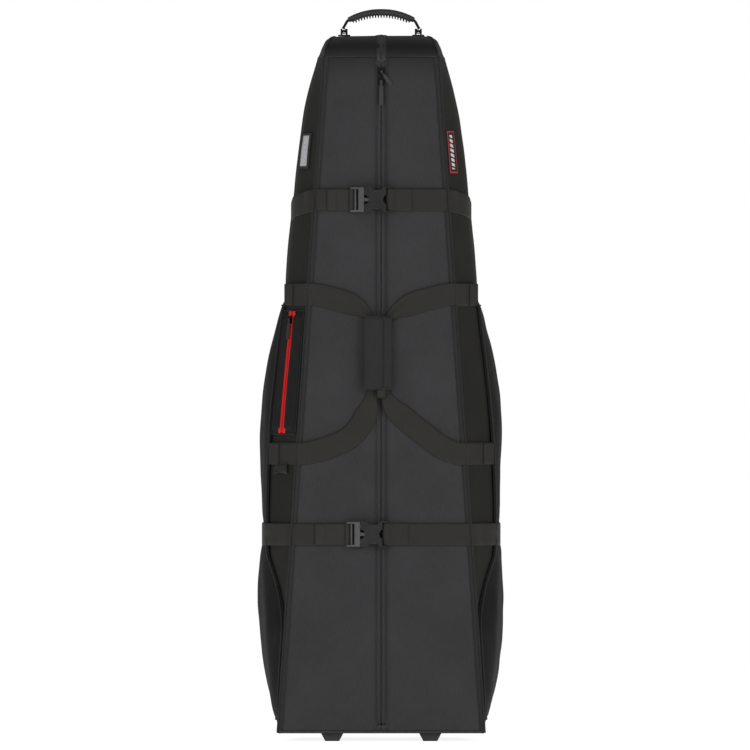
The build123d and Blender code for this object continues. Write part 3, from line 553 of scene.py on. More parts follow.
RECIPES = {
    # The panel's fade paints shade over the top of the flaps, where the front turns back from the light
    "panel": lambda: woven("panel_packcloth", shade(tint("panel_cloth"), 0.87), fade=(1.165, 1.22, 0.55)),
    # The brow's colour is painted shade: the panel cloth at half brightness, fading darker over the top
    "brow": lambda: woven("brow_packcloth", shade(tint("panel_cloth"), 0.5), fade=(0.0, 0.03, 0.35)),
    "side": lambda: woven("side_ballistic_cloth", shade(tint("side_cloth"), 0.85), pitch=1.1, relief=0.18,
                          sheen=0.02, specular=0.14),
    "pocket": lambda: woven("pocket_cloth", shade(tint("pocket_cloth"), 0.85), pitch=0.9, relief=0.16,
                            sheen=0.02, specular=0.14),
    "crown": lambda: woven("crown_cloth", tint("crown_cloth"), pitch=0.9),
    "lining": lambda: woven("quilted_lining", (0.09, 0.092, 0.095), pitch=0.6, roughness=0.85),
    "foam": lambda: woven("foam_cover", (0.11, 0.11, 0.112), pitch=1.6, roughness=0.9),
    "web": lambda: webbing("strap_webbing", tint("webbing")),
    "piping": lambda: woven("bias_piping", tint("piping"), pitch=0.6, roughness=0.55, relief=0.08),
    "thread": lambda: woven("bonded_thread", (0.035, 0.035, 0.037), pitch=0.3, roughness=0.5),
    "pale_thread": lambda: woven("badge_thread", (0.62, 0.62, 0.6), pitch=0.5, roughness=0.7),
    "tape": lambda: woven("zip_tape_weave", tint("zip_tape"), pitch=0.55, roughness=0.72),
    "coil": lambda: moulded("zip_coil_nylon", (0.034, 0.034, 0.036), roughness=0.38, weave=True),
    "red": lambda: woven("red_zip_tape", tint("red_zip"), pitch=0.6, roughness=0.6, spread=0.1),
    "red_coil": lambda: moulded("red_coil_nylon", tint("red_zip"), roughness=0.4, weave=True),
    "buckle": lambda: moulded("acetal_receiver", shade(tint("buckle"), 0.75), roughness=0.24, grain=0.01, specular=0.6),
    # The latch's colour is raised as painted highlight, standing in for the light caught on the buckle's bars and
    # prongs
    "latch": lambda: moulded("acetal_latch", shade(tint("latch"), 1.5), roughness=0.24, grain=0.01, specular=0.6),
    "metal": lambda: plated("black_nickel", (0.03, 0.03, 0.032), roughness=0.24),
    "steel": lambda: plated("zinc_plate", (0.58, 0.59, 0.6), roughness=0.32, brushed=0.03),
    "pull": lambda: moulded("pull_rubber", (0.022, 0.022, 0.023), roughness=0.48),
    "grip": lambda: moulded("grip_rubber", tint("grip"), roughness=0.5, grain=0.09),
    "base": lambda: moulded("base_moulding", (0.016, 0.016, 0.017), roughness=0.55, grain=0.12),
    "board": lambda: woven("base_board_cloth", (0.05, 0.05, 0.052), pitch=1.0, weave=False),
    "tyre": lambda: moulded("wheel_urethane", (0.02, 0.02, 0.021), roughness=0.5, grain=0.1),
    "hub": lambda: moulded("hub_nylon", (0.12, 0.122, 0.126), roughness=0.42, grain=0.05),
    "card": lambda: moulded("card_stock", (0.43, 0.43, 0.435), roughness=0.6, grain=0.01, weave=True, spread=0.04),
    "badge": lambda: woven("badge_ground", (0.015, 0.015, 0.016), pitch=0.5),
    "badge_red": lambda: woven("badge_border", (0.55, 0.03, 0.035), pitch=0.5, roughness=0.65, spread=0.1),
    "window": lambda: moulded("window_frame_vinyl", (0.02, 0.02, 0.021), roughness=0.5, grain=0.05),
    "wrap": lambda: woven("wrap_neoprene", (0.017, 0.016, 0.0163), pitch=0.55, roughness=0.7, sheen=0.08),
    "web_worn": lambda: webbing("strap_tail_webbing", shade(tint("webbing"), 1.22)),
    "web_dark": lambda: webbing("handle_webbing", shade(tint("webbing"), 0.55)),
    "saddle": lambda: moulded("saddle_moulding", (0.006, 0.006, 0.0062), roughness=0.6, grain=0.05, specular=0.25),
    "base_made": lambda: moulded("kick_plate_moulding", (0.017, 0.017, 0.018), roughness=0.5, grain=0.1, weave=True),
    "steel_made": lambda: plated("screw_plate", (0.42, 0.42, 0.43), roughness=0.3),
    "clear": clear_vinyl,
}


# ---------------------------------------------------------------- surfaces of the case

def face_out(grid, outward):
    """Unit normals of a grid of points, on the side that outward points to."""
    n = unit(np.cross(np.gradient(grid, axis=1), np.gradient(grid, axis=0)))
    return -n if np.mean(n @ np.asarray(outward, float)) < 0 else n


def cloth_lengths(grid):
    """Distances along and up a sheet, used to lay the weave at its true scale."""
    across = np.linalg.norm(np.diff(grid, axis=1), axis=2)
    up = np.linalg.norm(np.diff(grid, axis=0), axis=2).mean(1)
    u = np.c_[np.zeros(len(grid)), np.cumsum(across, 1)]
    v = np.r_[0, np.cumsum(up)][:, None]
    return np.stack(np.broadcast_arrays(u, v), -1)


def rounded_row(corners, rounds, z, count, out):
    """count points at height z on the rounded line through the corners, moved out square to it."""
    row = resample(relax(resample(corners, 160), rounds), count)
    if out:
        t = tangents(row)
        row = row + out * np.stack([t[:, 1], -t[:, 0]], 1)
    return np.c_[row, np.full(count, z)]


def gusset_row(z, count, out=0.0):
    """The side wall's rounded outline at height z on the right, from the front seam to the back seam."""
    corners = np.array([(seam_x(z) + 0.6, front_y(z) + 0.5), (along(RIM_X, z), front_y(z) + STRIP_DEPTH),
                        (along(WALL_X, z), WAIST_Y), (along(BACK_X, z) + 0.6, BACK_Y)])
    return rounded_row(corners, 60, z, count, out)


def belly_row(z, count, out=0.0):
    """The side pocket's rounded outline at height z on the right."""
    belly = along(BELLY_X, z)
    swing = float(np.clip((z - 198.0) / 134.0, 0, 1))
    rim_x, rim_y, _ = on_strip(z, 0.03 + 0.91 * swing, 1.8 + 1.4 * swing)
    corners = np.array([(rim_x, rim_y), (rim_x + 0.72 * (belly - rim_x), rim_y + 26), (belly, WAIST_Y),
                        (belly - 3, 70), (along(BACK_X, z) + 8, BACK_Y - 6)])
    return rounded_row(corners, 90, z, count, out)


CROWN_STEPS = ((1228.2, 150.0, -122.1, 160.0), (1234.0, 126.0, -120.6, 159.6), (1242.0, 117.0, -116.0, 158.0),
               (1250.0, 111.5, -107.5, 154.0), (1257.0, 107.5, -94.0, 148.0), (1262.5, 104.5, -74.0, 139.0),
               (1266.2, 99.0, -45.0, 126.0), (1268.3, 86.0, -12.0, 108.0), (1269.0, 64.0, 12.0, 86.0))


def crown_base(half_count=54):
    """The closed outline of the walls where the crown starts, from the middle of the front by the right side."""
    wall = gusset_row(BREAK_Z, 120)[:, :2]
    front = np.linspace((0, FRONT_TOP_Y + 0.2), wall[0], 60)[:-1]
    back = np.linspace(wall[-1], (0, BACK_Y), 60)[1:]
    half = resample(np.vstack([front, wall, back]), half_count)
    half[0, 0] = half[-1, 0] = 0
    return np.vstack([half, (half * [-1, 1])[-2:0:-1]])


def held_within(x, limit, firmness=12.0):
    """x kept within +-limit on a smooth shoulder."""
    return x / (1 + (np.abs(x) / limit) ** firmness) ** (1 / firmness)


def crown_row(z, limit, front, back, rounding=0, inset=0.0):
    """The crown's outline at height z: the walls' outline held within a width, drawn in and rounded."""
    ring = crown_base()
    depth = (ring[:, 1] - FRONT_TOP_Y) / (BACK_Y - FRONT_TOP_Y)
    widest = np.abs(ring[:, 0]).max()
    x = held_within(ring[:, 0], limit) * (widest - inset) / widest
    ring = np.stack([x, front + depth * (back - front)], 1)
    for _ in range(rounding):
        ring = ring + 0.25 * (np.roll(ring, 1, 0) + np.roll(ring, -1, 0) - 2 * ring)
    rise = (z - CROWN_STEPS[0][0]) / (CROWN_Z - CROWN_STEPS[0][0])
    return np.c_[ring, z - 4.5 * smoothstep(rise, 0.35, 1.0) * (ring[:, 0] / 100.0) ** 8]


def crown_rows(inset=0.0, rows=38):
    steps = curve_through(CROWN_STEPS, rows)
    rings = []
    for z, limit, front, back in steps:
        rise = (z - CROWN_STEPS[0][0]) / (CROWN_Z - CROWN_STEPS[0][0])
        rings.append(crown_row(z - inset, limit, front + inset, back - inset, int(7 * rise ** 2), inset))
    middle = np.array([0, 0.5 * (steps[-1][2] + steps[-1][3]), steps[-1][0] - inset])
    last = rings[-1]
    for t in (0.8, 0.6, 0.4, 0.22, 0.08):
        ring = middle + (last - middle) * t
        ring[:, 2] = last[:, 2] + 0.35 * (1 - t * t)
        rings.append(ring)
    return np.array(rings)


def both_sides(make):
    """Calls make for the right side (1) and the left side (-1)."""
    for side, name in ((1, "right"), (-1, "left")):
        make(side, name)


def dress(node, finish_name, round_mm=0.0, segments=2):
    """Gives a moulded or metal node of the frame its finish and, where it has sharp edges, a small radius."""
    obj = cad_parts[node]
    obj.data.materials.clear()
    obj.data.materials.append(finish(finish_name))
    if round_mm:
        bevel = obj.modifiers.new("edge radius", "BEVEL")
        bevel.width = round_mm * MM
        bevel.segments = segments
        bevel.limit_method = "ANGLE"
        bevel.angle_limit = math.radians(32)
        obj.data.shade_smooth()
        obj.data.set_sharp_from_angle(angle=math.radians(40))


# ---------------------------------------------------------------- settings

class CaseFinishes(bpy.types.PropertyGroup):
    """Colours of the case's cloths and mouldings."""

    def colour(label, text, value):
        return FloatVectorProperty(name=label, description=text, default=value, size=3, min=0, max=1, subtype="COLOR")

    panel_cloth: colour("Panel cloth", "Charcoal packcloth of the front flaps", (0.034, 0.033, 0.035))
    side_cloth: colour("Side cloth", "Cloth of the side gussets and the back", (0.0185, 0.018, 0.0165))
    pocket_cloth: colour("Pocket cloth", "Cloth of the side and shoe pockets", (0.0125, 0.0118, 0.0117))
    crown_cloth: colour("Crown cloth", "Darker cloth over the top", (0.0085, 0.0083, 0.0086))
    webbing: colour("Webbing", "Girth straps and haul loops", (0.0158, 0.0150, 0.0125))
    piping: colour("Piping", "Bound cord along the seams", (0.014, 0.0135, 0.014))
    zip_tape: colour("Zip tape", "Woven tape of the centre zip", (0.031, 0.031, 0.033))
    red_zip: colour("Pocket zip", "Red zip of the valuables pocket", (0.60, 0.012, 0.014))
    buckle: colour("Buckle", "Receiver halves of the buckles", (0.017, 0.0168, 0.0168))
    # The latch colour is lighter than the receiver's as painted reflection on the prongs and bars
    latch: colour("Latch", "Latch halves of the buckles", (0.046, 0.0455, 0.0455))
    grip: colour("Grip", "Moulded top handle", (0.030, 0.030, 0.031))


class CaseSizes(bpy.types.PropertyGroup):
    """Sewing sizes that a maker would change."""

    puff: FloatProperty(name="Flap puff", description="How far the flap padding stands proud between the straps, "
                        "in millimetres", default=2.2, min=0.0, max=5.0)
    piping: FloatProperty(name="Piping radius", description="Radius of the bound seam cord, in millimetres",
                          default=1.6, min=0.8, max=3.0)
    stitch_pitch: FloatProperty(name="Stitch pitch", description="Distance from stitch to stitch, in millimetres",
                                default=4.6, min=2.5, max=8.0)
    coil_pitch: FloatProperty(name="Coil pitch", description="Distance from tooth to tooth of the centre zip, "
                              "in millimetres", default=2.8, min=1.8, max=5.0)
    wheel_treads: IntProperty(name="Wheel treads", description="Grooves round each wheel", default=36, min=12, max=72)


def sizes():
    return bpy.context.scene.case_sizes


class CaseOperator:
    """What every step of the making has in common."""

    bl_options = {"REGISTER", "UNDO"}

    def execute(self, context):
        self.make()
        return {"FINISHED"}


# ---------------------------------------------------------------- shell

class CASE_OT_gussets(CaseOperator, bpy.types.Operator):
    """Sew the two side gussets, with their stitched seams"""
    bl_idname = "case.gussets"
    bl_label = "Side gussets"

    def make(self):
        both_sides(self.gusset)

    def gusset(self, side, name):
        heights = np.linspace(BASE_Z + 0.2, BREAK_Z, 150)
        count = 56
        outer = np.array([gusset_row(z, count) for z in heights])
        normal = face_out(outer, (1, 0, 0))
        reach = np.linspace(0, 1, count)[None, :]
        hang = smoothstep(reach, 0.1, 0.3) * (1 - smoothstep(reach, 0.85, 1.0))
        open_cloth = smoothstep(heights, 40, 120)[:, None] * (1 - smoothstep(heights, 1150, 1225))[:, None]
        slack = wobble(outer[..., 1], outer[..., 2], 7 + side, 0.9)
        outer = outer + normal * (slack * 0.9 * hang * open_cloth)[..., None]
        inner = outer - normal * 4.0
        b = Build()
        b.shell(flip(outer, side), flip(inner, side), cloth_lengths(outer))
        b.piece(f"side_gusset_{name}", finish("side"), "case", "side_cloth", (f"gusset_{name}",))
        seam = Build()
        pitch = sizes().stitch_pitch
        for column in (2, count - 4):
            line = outer[:, column] + normal[:, column] * 0.25
            seam.stitches(flip(line, side), flip(normal[:, column], side), pitch, pitch * 0.68, 0.35)
        seam.piece(f"side_seam_thread_{name}", finish("thread"), "case", "side_cloth")


class CASE_OT_back(CaseOperator, bpy.types.Operator):
    """Make the padded back panel with its sewn channels and kick plate"""
    bl_idname = "case.back"
    bl_label = "Back panel"
    channels_x, channels_z = (-62.0, 62.0), (300.0, 640.0, 960.0)
    low_half_width = 168

    def make(self):
        heights = np.linspace(BASE_Z + 0.2, BREAK_Z, 170)
        shares = np.linspace(-1, 1, 81)
        half = along(BACK_X, heights)[:, None]
        x = shares[None, :] * (half + 0.2)
        z = np.broadcast_to(heights[:, None], x.shape)
        edge = np.minimum(half - np.abs(x), 40) / 40
        channel = np.zeros_like(x)
        for at in self.channels_x:
            channel = np.maximum(channel, np.exp(-((x - at * half / self.low_half_width) / 4.0) ** 2))
        for at in self.channels_z:
            channel = np.maximum(channel, np.exp(-((z - at) / 4.0) ** 2))
        strap = np.zeros_like(x)
        for at in (370.0, 1005.0):
            strap = np.maximum(strap, 1 - smoothstep(np.abs(z - at), 24, 60))
        swell = 2.2 * smoothstep(edge, 0.05, 0.9) * (1 - channel) * (1 - 0.85 * strap)
        swell += 0.5 * wobble(x, z, 19, 0.8) * smoothstep(edge, 0.1, 0.6) * (1 - strap)
        y = BACK_Y + swell - 1.6 * channel * smoothstep(edge, 0.0, 0.4)
        outer = np.stack([x, y, z], -1)
        inner = np.stack([x, np.full_like(x, BACK_Y - 4.0), z], -1)
        wheels = (np.abs(np.abs(x) - WHEEL_X) < 19.5) & (z < 77.5)
        self.panel(outer, inner, wheels)
        thread = Build()
        for at in self.channels_x:
            line = np.stack([at * half[:, 0] / self.low_half_width, np.full(len(heights), BACK_Y - 1.2),
                             heights], 1)
            thread.stitches(line[12:], (0, 1, 0), 5.0, 3.4, 0.5)
        for at in self.channels_z:
            reach = along(BACK_X, at) - 6
            line = np.stack([np.linspace(-reach, reach, 80), np.full(80, BACK_Y - 1.2), np.full(80, at)], 1)
            thread.stitches(line, (0, 1, 0), 5.0, 3.4, 0.5)
        thread.piece("back_channel_thread", finish("thread"), "case", "side_cloth")
        cord = Build()
        for side in (1, -1):
            line = np.stack([along(BACK_X, heights) + 1.0, np.full(len(heights), BACK_Y + 0.3), heights], 1)
            cord.tube(flip(line, side), 2.0, 10)
        cord.piece("back_seam_cord", finish("piping"), "case", "piping")
        self.kick_plate()

    def panel(self, outer, inner, holes):
        """The padded sheet, open where the wheel housings stand."""
        rows, cols = outer.shape[:2]
        keep = ~(holes[:-1, :-1] | holes[1:, :-1] | holes[:-1, 1:] | holes[1:, 1:])
        b = Build()
        n = rows * cols
        faces = []
        for r in range(rows - 1):
            for c in range(cols - 1):
                if not keep[r, c]:
                    continue
                quad = (r * cols + c, r * cols + c + 1, (r + 1) * cols + c + 1, (r + 1) * cols + c)
                faces += [quad, tuple(n + i for i in quad[::-1])]
                around = ((r - 1, c, quad[0], quad[1]), (r, c + 1, quad[1], quad[2]), (r + 1, c, quad[2], quad[3]),
                          (r, c - 1, quad[3], quad[0]))
                for rr, cc, i, j in around:
                    if not (0 <= rr < rows - 1 and 0 <= cc < cols - 1 and keep[rr, cc]):
                        faces.append((i, n + i, n + j, j))
        lengths = cloth_lengths(outer).reshape(-1, 2)
        b.add(np.vstack([outer.reshape(-1, 3), inner.reshape(-1, 3)]), faces, np.vstack([lengths, lengths]))
        b.piece("padded_back", finish("side"), "case", "side_cloth", ("back_panel",), fill=0.35)

    def kick_plate(self):
        """A ribbed moulded strip that takes the wear low on the back."""
        b = Build()
        half, low, high, ribs = 66.0, 22, 96, 6
        gx, gz = np.meshgrid(np.linspace(-half, half, 67), np.linspace(low, high, 75))
        corner = np.minimum(np.minimum(gx + half, half - gx), np.minimum(gz - low, high - gz))
        rib = np.clip(np.sin((gz - low - 2) / (high - low) * ribs * 2 * np.pi) * 1.6, -0.6, 0.9)
        rib = rib * smoothstep(corner, 3, 8)
        y = BACK_Y + 1.2 + 1.6 * smoothstep(corner, 0, 3) + 0.9 * rib
        outer = np.stack([gx, y, gz], -1)
        inner = np.stack([gx, np.full_like(gx, BACK_Y - 0.5), gz], -1)
        b.shell(outer, inner, cloth_lengths(outer))
        b.piece("back_kick_plate", finish("base_made"), "case", "moulding")


class CASE_OT_crown(CaseOperator, bpy.types.Operator):
    """Make the domed top, its padding, the brow over the front and the bound seam round it"""
    bl_idname = "case.crown"
    bl_label = "Crown"

    def make(self):
        rings = crown_rows()
        centre = np.array([0.0, 20.0, 1150.0])
        slack = 0.6 * wobble(rings[..., 0], rings[..., 1], 31, 0.7)
        fade = smoothstep(np.arange(len(rings)), 3, 9)[:, None]
        rings = rings + unit(rings - centre) * (slack * fade)[..., None]
        inner = crown_rows(4.0)
        b = Build()
        lengths = self.lengths(rings)
        self.cap(b, rings, lengths, False)
        self.cap(b, inner, lengths, True)
        self.join_rims(b, rings.shape[1], rings.shape[0])
        obj = b.piece("crown_cloth", finish("crown"), "case", "side_cloth", ("crown",))
        self.front_cloth(obj, rings)
        pad = Build()
        self.cap(pad, crown_rows(6.0), lengths, False)
        self.cap(pad, crown_rows(13.0), lengths, True)
        self.join_rims(pad, rings.shape[1], rings.shape[0])
        pad.piece("crown_foam", finish("foam"), "case", "foam", ("crown_pad",), fill=0.6)
        cord = Build()
        ring = crown_row(1229.2, 190.0, -121.8, 159.7)
        ring = ring[ring[:, 1] > -100.0]
        cord.tube(ring, np.minimum(sizes().piping * 0.5, 0.25 + 0.12 * np.minimum(ring[:, 1] + 100.0, 40.0)), 10)
        corner = self.corner(rings.shape[1])
        for index in (corner, rings.shape[1] - corner):
            line = rings[:31, index] + unit(rings[:31, index] - centre) * 0.9
            cord.tube(line, sizes().piping * np.linspace(1.0, 0.6, len(line)), 10)
        cord.piece("crown_seam_cord", finish("piping"), "case", "piping")

    def front_cloth(self, obj, rings):
        """The brow, between the two seam cords, is cut from the same cloth as the flaps, in a copy of its colour halved
        and faded darker as painted shade where the top turns back from the light.
        """
        obj.data.materials.append(finish("brow"))
        n = rings.shape[1]
        corner = self.corner(n)
        outer = len(rings) * n
        for face in obj.data.polygons:
            if max(face.vertices) >= outer:
                continue
            spots = [i % n for i in face.vertices]
            if all(i <= corner or i >= n - corner for i in spots) and min(face.vertices) // n < 33:
                face.material_index = 1

    def corner(self, n):
        """How many outline points lie between the middle of the front and the front seam."""
        base = crown_base()
        return int(np.argmin(np.hypot(base[:n // 2, 0] - SEAM_TOP_X, base[:n // 2, 1] - FRONT_TOP_Y)))

    def lengths(self, rings):
        around = np.linalg.norm(np.roll(rings, -1, 1) - rings, axis=2)
        u = np.c_[np.zeros(len(rings)), np.cumsum(around, 1)[:, :-1]]
        v = np.r_[0, np.cumsum(np.linalg.norm(np.diff(rings, axis=0), axis=2).mean(1))]
        return np.stack(np.broadcast_arrays(u, v[:, None]), -1)

    def cap(self, b, rings, lengths, turned):
        """A dome of rings closed by a fan at the middle."""
        rows, n = rings.shape[:2]
        faces = []
        for r in range(rows - 1):
            for c in range(n):
                d = (c + 1) % n
                faces.append((r * n + c, r * n + d, (r + 1) * n + d, (r + 1) * n + c))
        top = rings[-1].mean(0)
        for c in range(n):
            faces.append(((rows - 1) * n + c, (rows - 1) * n + (c + 1) % n, rows * n))
        if turned:
            faces = [face[::-1] for face in faces]
        points = np.vstack([rings.reshape(-1, 3), top])
        b.add(points, faces, np.vstack([lengths.reshape(-1, 2), lengths[-1].mean(0)]))

    def join_rims(self, b, n, rows):
        first = b.count - 2 * (rows * n + 1)
        second = first + rows * n + 1
        b.faces += [(first + (c + 1) % n, first + c, second + c, second + (c + 1) % n) for c in range(n)]


class CASE_OT_front_frame(CaseOperator, bpy.types.Operator):
    """Make the strips under and over the front flaps and the cords along the front seams"""
    bl_idname = "case.front_frame"
    bl_label = "Front frame"

    def make(self):
        b = Build()
        for low, high in ((0.2, FLAP_LOW - 1), (FLAP_HIGH + 1, FRONT_LEN - 0.2)):
            s = np.r_[low, np.linspace(low + 0.4 * (high - low), high, 9)]
            half = (seam_at(s) - 1.0)[:, None]
            x = np.linspace(-1, 1, 61)[None] * half
            h = -3.0 + 0.15 * wobble(x, s[:, None], 5) + 2.5 * smoothstep(s, FLAP_HIGH + 6.8, FLAP_HIGH + 7.8)[:, None]
            outer = on_front(x, s[:, None], h)
            inner = on_front(x, s[:, None], -4.6)
            b.shell(outer, inner, cloth_lengths(outer))
        b.piece("front_frame_cloth", finish("panel"), "case", "panel_cloth", ("front_frame",))
        cord = Build()
        z = np.linspace(BASE_Z + 1, BREAK_Z - 1, 220)
        for side in (1, -1):
            line = np.stack([seam_x(z) + 2.6, front_y(z) - 0.9, z], 1)
            line[:, 0] += 0.5 * wobble(z, 0 * z, 41 + side, 0.7)
            cord.tube(flip(line, side), sizes().piping, 10)
        cord.piece("front_seam_cord", finish("piping"), "case", "piping", ("seam_piping",))
        flange = Build()
        for side in (1, -1):
            near = np.stack([seam_x(z) + 0.4, front_y(z) + 0.4, z], 1)
            far = np.stack([seam_x(z) + 3.8, front_y(z) + 3.0, z], 1)
            top = np.stack([seam_x(z) + 2.4, front_y(z) + 0.1, z], 1)
            rows = np.stack([near, top, far], 1)
            back = rows + np.array([0.0, 1.2, 0.0])
            flange.shell(flip(rows, side), flip(back, side), cloth_lengths(rows))
        flange.piece("front_seam_flange", finish("piping"), "case", "piping")


# ---------------------------------------------------------------- base and wheels

class CASE_OT_base(CaseOperator, bpy.types.Operator):
    """Finish the moulded base, feet, wheel housings, wheels and axles"""
    bl_idname = "case.base"
    bl_label = "Base and wheels"

    def make(self):
        dress("base_tray", "base", 1.2)
        dress("base_board", "board", 0.5)
        dress("front_feet", "base", 2.0, 3)
        for name in ("right", "left"):
            dress(f"wheel_housing_{name}", "base", 1.2, 2)
            dress(f"axle_{name}", "steel", 0.4)
            dress(f"hub_{name}", "hub", 0.7)
            dress(f"bearings_{name}", "steel", 0.5)
            self.tyre(name)
        self.trim()

    def tyre(self, name):
        """A urethane tyre with two rows of shallow tread blocks and a moulding line."""
        low, high = (np.array(c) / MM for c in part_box(f"tyre_{name}"))
        centre, radius, half = (low + high) / 2, (high[2] - low[2]) / 2, (high[0] - low[0]) / 2
        section = curve_through([(-half + 0.6, 23.0), (-half, 26.0), (-half + 1.4, 30.5), (-half + 4.6, 33.2),
                                 (-3.2, radius), (-1.6, radius - 0.2), (-1.2, radius - 1.6), (0.0, radius - 1.9),
                                 (1.2, radius - 1.6), (1.6, radius - 0.2), (3.2, radius), (half - 4.6, 33.2),
                                 (half - 1.4, 30.5), (half, 26.0), (half - 0.6, 23.0)], 56)
        bore = np.array([(half - 0.8, 22.0), (half / 2, 22.0), (0, 22.0), (-half / 2, 22.0), (-half + 0.8, 22.0)])
        section = np.vstack([section, bore])
        count = sizes().wheel_treads * 8
        angle = np.linspace(0, 2 * np.pi, count, endpoint=False)
        cut = smoothstep(np.cos(angle * sizes().wheel_treads), 0.62, 0.9)
        rim = smoothstep(section[:, 1], radius - 3.5, radius - 0.6)
        r = section[None, :, 1] - 0.75 * cut[:, None] * rim[None, :]
        points = np.stack([np.broadcast_to(section[None, :, 0], r.shape), r * np.cos(angle)[:, None],
                           r * np.sin(angle)[:, None]], -1) + centre
        b = Build()
        arc = np.stack(np.broadcast_arrays(np.r_[0, np.cumsum(np.linalg.norm(np.diff(section, axis=0), axis=1))][None],
                                           (angle * radius)[:, None]), -1)
        b.swept(points, arc, closed=True)
        b.piece(f"wheel_tyre_{name}", finish("tyre"), f"{name}_wheel", "tyre", (f"tyre_{name}",), sharp=35)

    def trim(self):
        """Screws under the base and a rolled lip round it."""
        screws = Build()
        for side in (1, -1):
            for y in (-98.0, -58.0):
                angle = np.linspace(0, 2 * np.pi, 22, endpoint=False)
                rings = []
                for r, drop in ((4.6, 13.6), (4.6, 12.2), (3.6, 11.2), (1.6, 11.0), (1.4, 12.4)):
                    rings.append(np.stack([side * WHEEL_X + r * np.cos(angle), y + r * np.sin(angle),
                                           np.full(22, drop)], 1))
                screws.swept(np.array(rings))
        screws.piece("base_screws", finish("steel_made"), "case", "steel")
        lip = Build()
        z = BASE_Z + 3.2
        half = gusset_row(z, 60, -1.4)
        half = half[half[:, 1] < 88.0]  # the lip stops short of the wheels
        line = np.vstack([(half * [-1, 1, 1])[::-1], half])
        lip.tube(line, 1.7, 10)
        lip.piece("base_rolled_lip", finish("base_made"), "case", "moulding")


# ---------------------------------------------------------------- stage

class CASE_OT_stage(CaseOperator, bpy.types.Operator):
    """Set the pale floor, the soft studio light and the camera"""
    bl_idname = "case.stage"
    bl_label = "Stage"

    def make(self):
        scene = bpy.context.scene
        camera = bpy.data.cameras.new("case_camera")
        camera.sensor_width = 36.0
        camera.lens = 745.0
        camera.clip_end = 120.0
        obj = bpy.data.objects.new("case_camera", camera)
        obj.location = (-0.0112, -28.0, 0.657)
        obj.rotation_euler = (math.radians(90), 0, 0)
        scene.collection.objects.link(obj)
        scene.camera = obj
        self.floor()
        self.light("front_left", (-1.9, -3.2, 1.5), 1.8, 33.0)
        self.light("front_right", (2.1, -3.1, 1.3), 1.8, 40.0)
        self.light("front_high", (0.0, -3.0, 2.9), 1.0, 11.0)
        scene.view_settings.view_transform = "Standard"
        self.world(scene)

    def world(self, scene):
        """A white sky to look at, and a softer one for the case to be lit by."""
        world = bpy.data.worlds.new("studio")
        scene.world = world
        world.use_nodes = True
        tree = world.node_tree
        soft = tree.nodes["Background"]
        soft.inputs["Color"].default_value = (1, 1, 1, 1)
        soft.inputs["Strength"].default_value = 0.22
        seen = tree.nodes.new("ShaderNodeBackground")
        seen.inputs["Color"].default_value = (1, 1, 1, 1)
        seen.inputs["Strength"].default_value = 1.0
        path = tree.nodes.new("ShaderNodeLightPath")
        mix = tree.nodes.new("ShaderNodeMixShader")
        tree.links.new(path.outputs["Is Camera Ray"], mix.inputs[0])
        tree.links.new(soft.outputs[0], mix.inputs[1])
        tree.links.new(seen.outputs[0], mix.inputs[2])
        tree.links.new(mix.outputs[0], tree.nodes["World Output"].inputs["Surface"])

    def floor(self):
        b = Build()
        b.add([(-6000, -6000, -0.5), (6000, -6000, -0.5), (6000, 6000, -0.5), (-6000, 6000, -0.5)], [(0, 1, 2, 3)])
        mesh = bpy.data.meshes.new("studio_floor")
        mesh.from_pydata((np.vstack(b.verts) * MM).tolist(), [], b.faces)
        f = Finish("pale_floor", roughness=0.9)
        f.blend_colours(f.noise(f.place(False), 3.0), (0.86, 0.86, 0.86), (0.9, 0.9, 0.9))
        f.shader.inputs["Emission Color"].default_value = (1, 1, 1, 1)
        f.shader.inputs["Emission Strength"].default_value = 0.84
        mesh.materials.append(f.material)
        obj = bpy.data.objects.new("studio_floor", mesh)
        bpy.context.scene.collection.objects.link(obj)

    def light(self, name, place, size, power):
        lamp = bpy.data.lights.new(name, "AREA")
        lamp.shape = "DISK"
        lamp.size = size
        lamp.energy = power
        obj = bpy.data.objects.new(name, lamp)
        obj.location = place
        target = Vector((0, 0, 0.65)) - Vector(place)
        obj.rotation_euler = target.to_track_quat("-Z", "Y").to_euler()
        bpy.context.scene.collection.objects.link(obj)


# ---------------------------------------------------------------- pockets on the sides

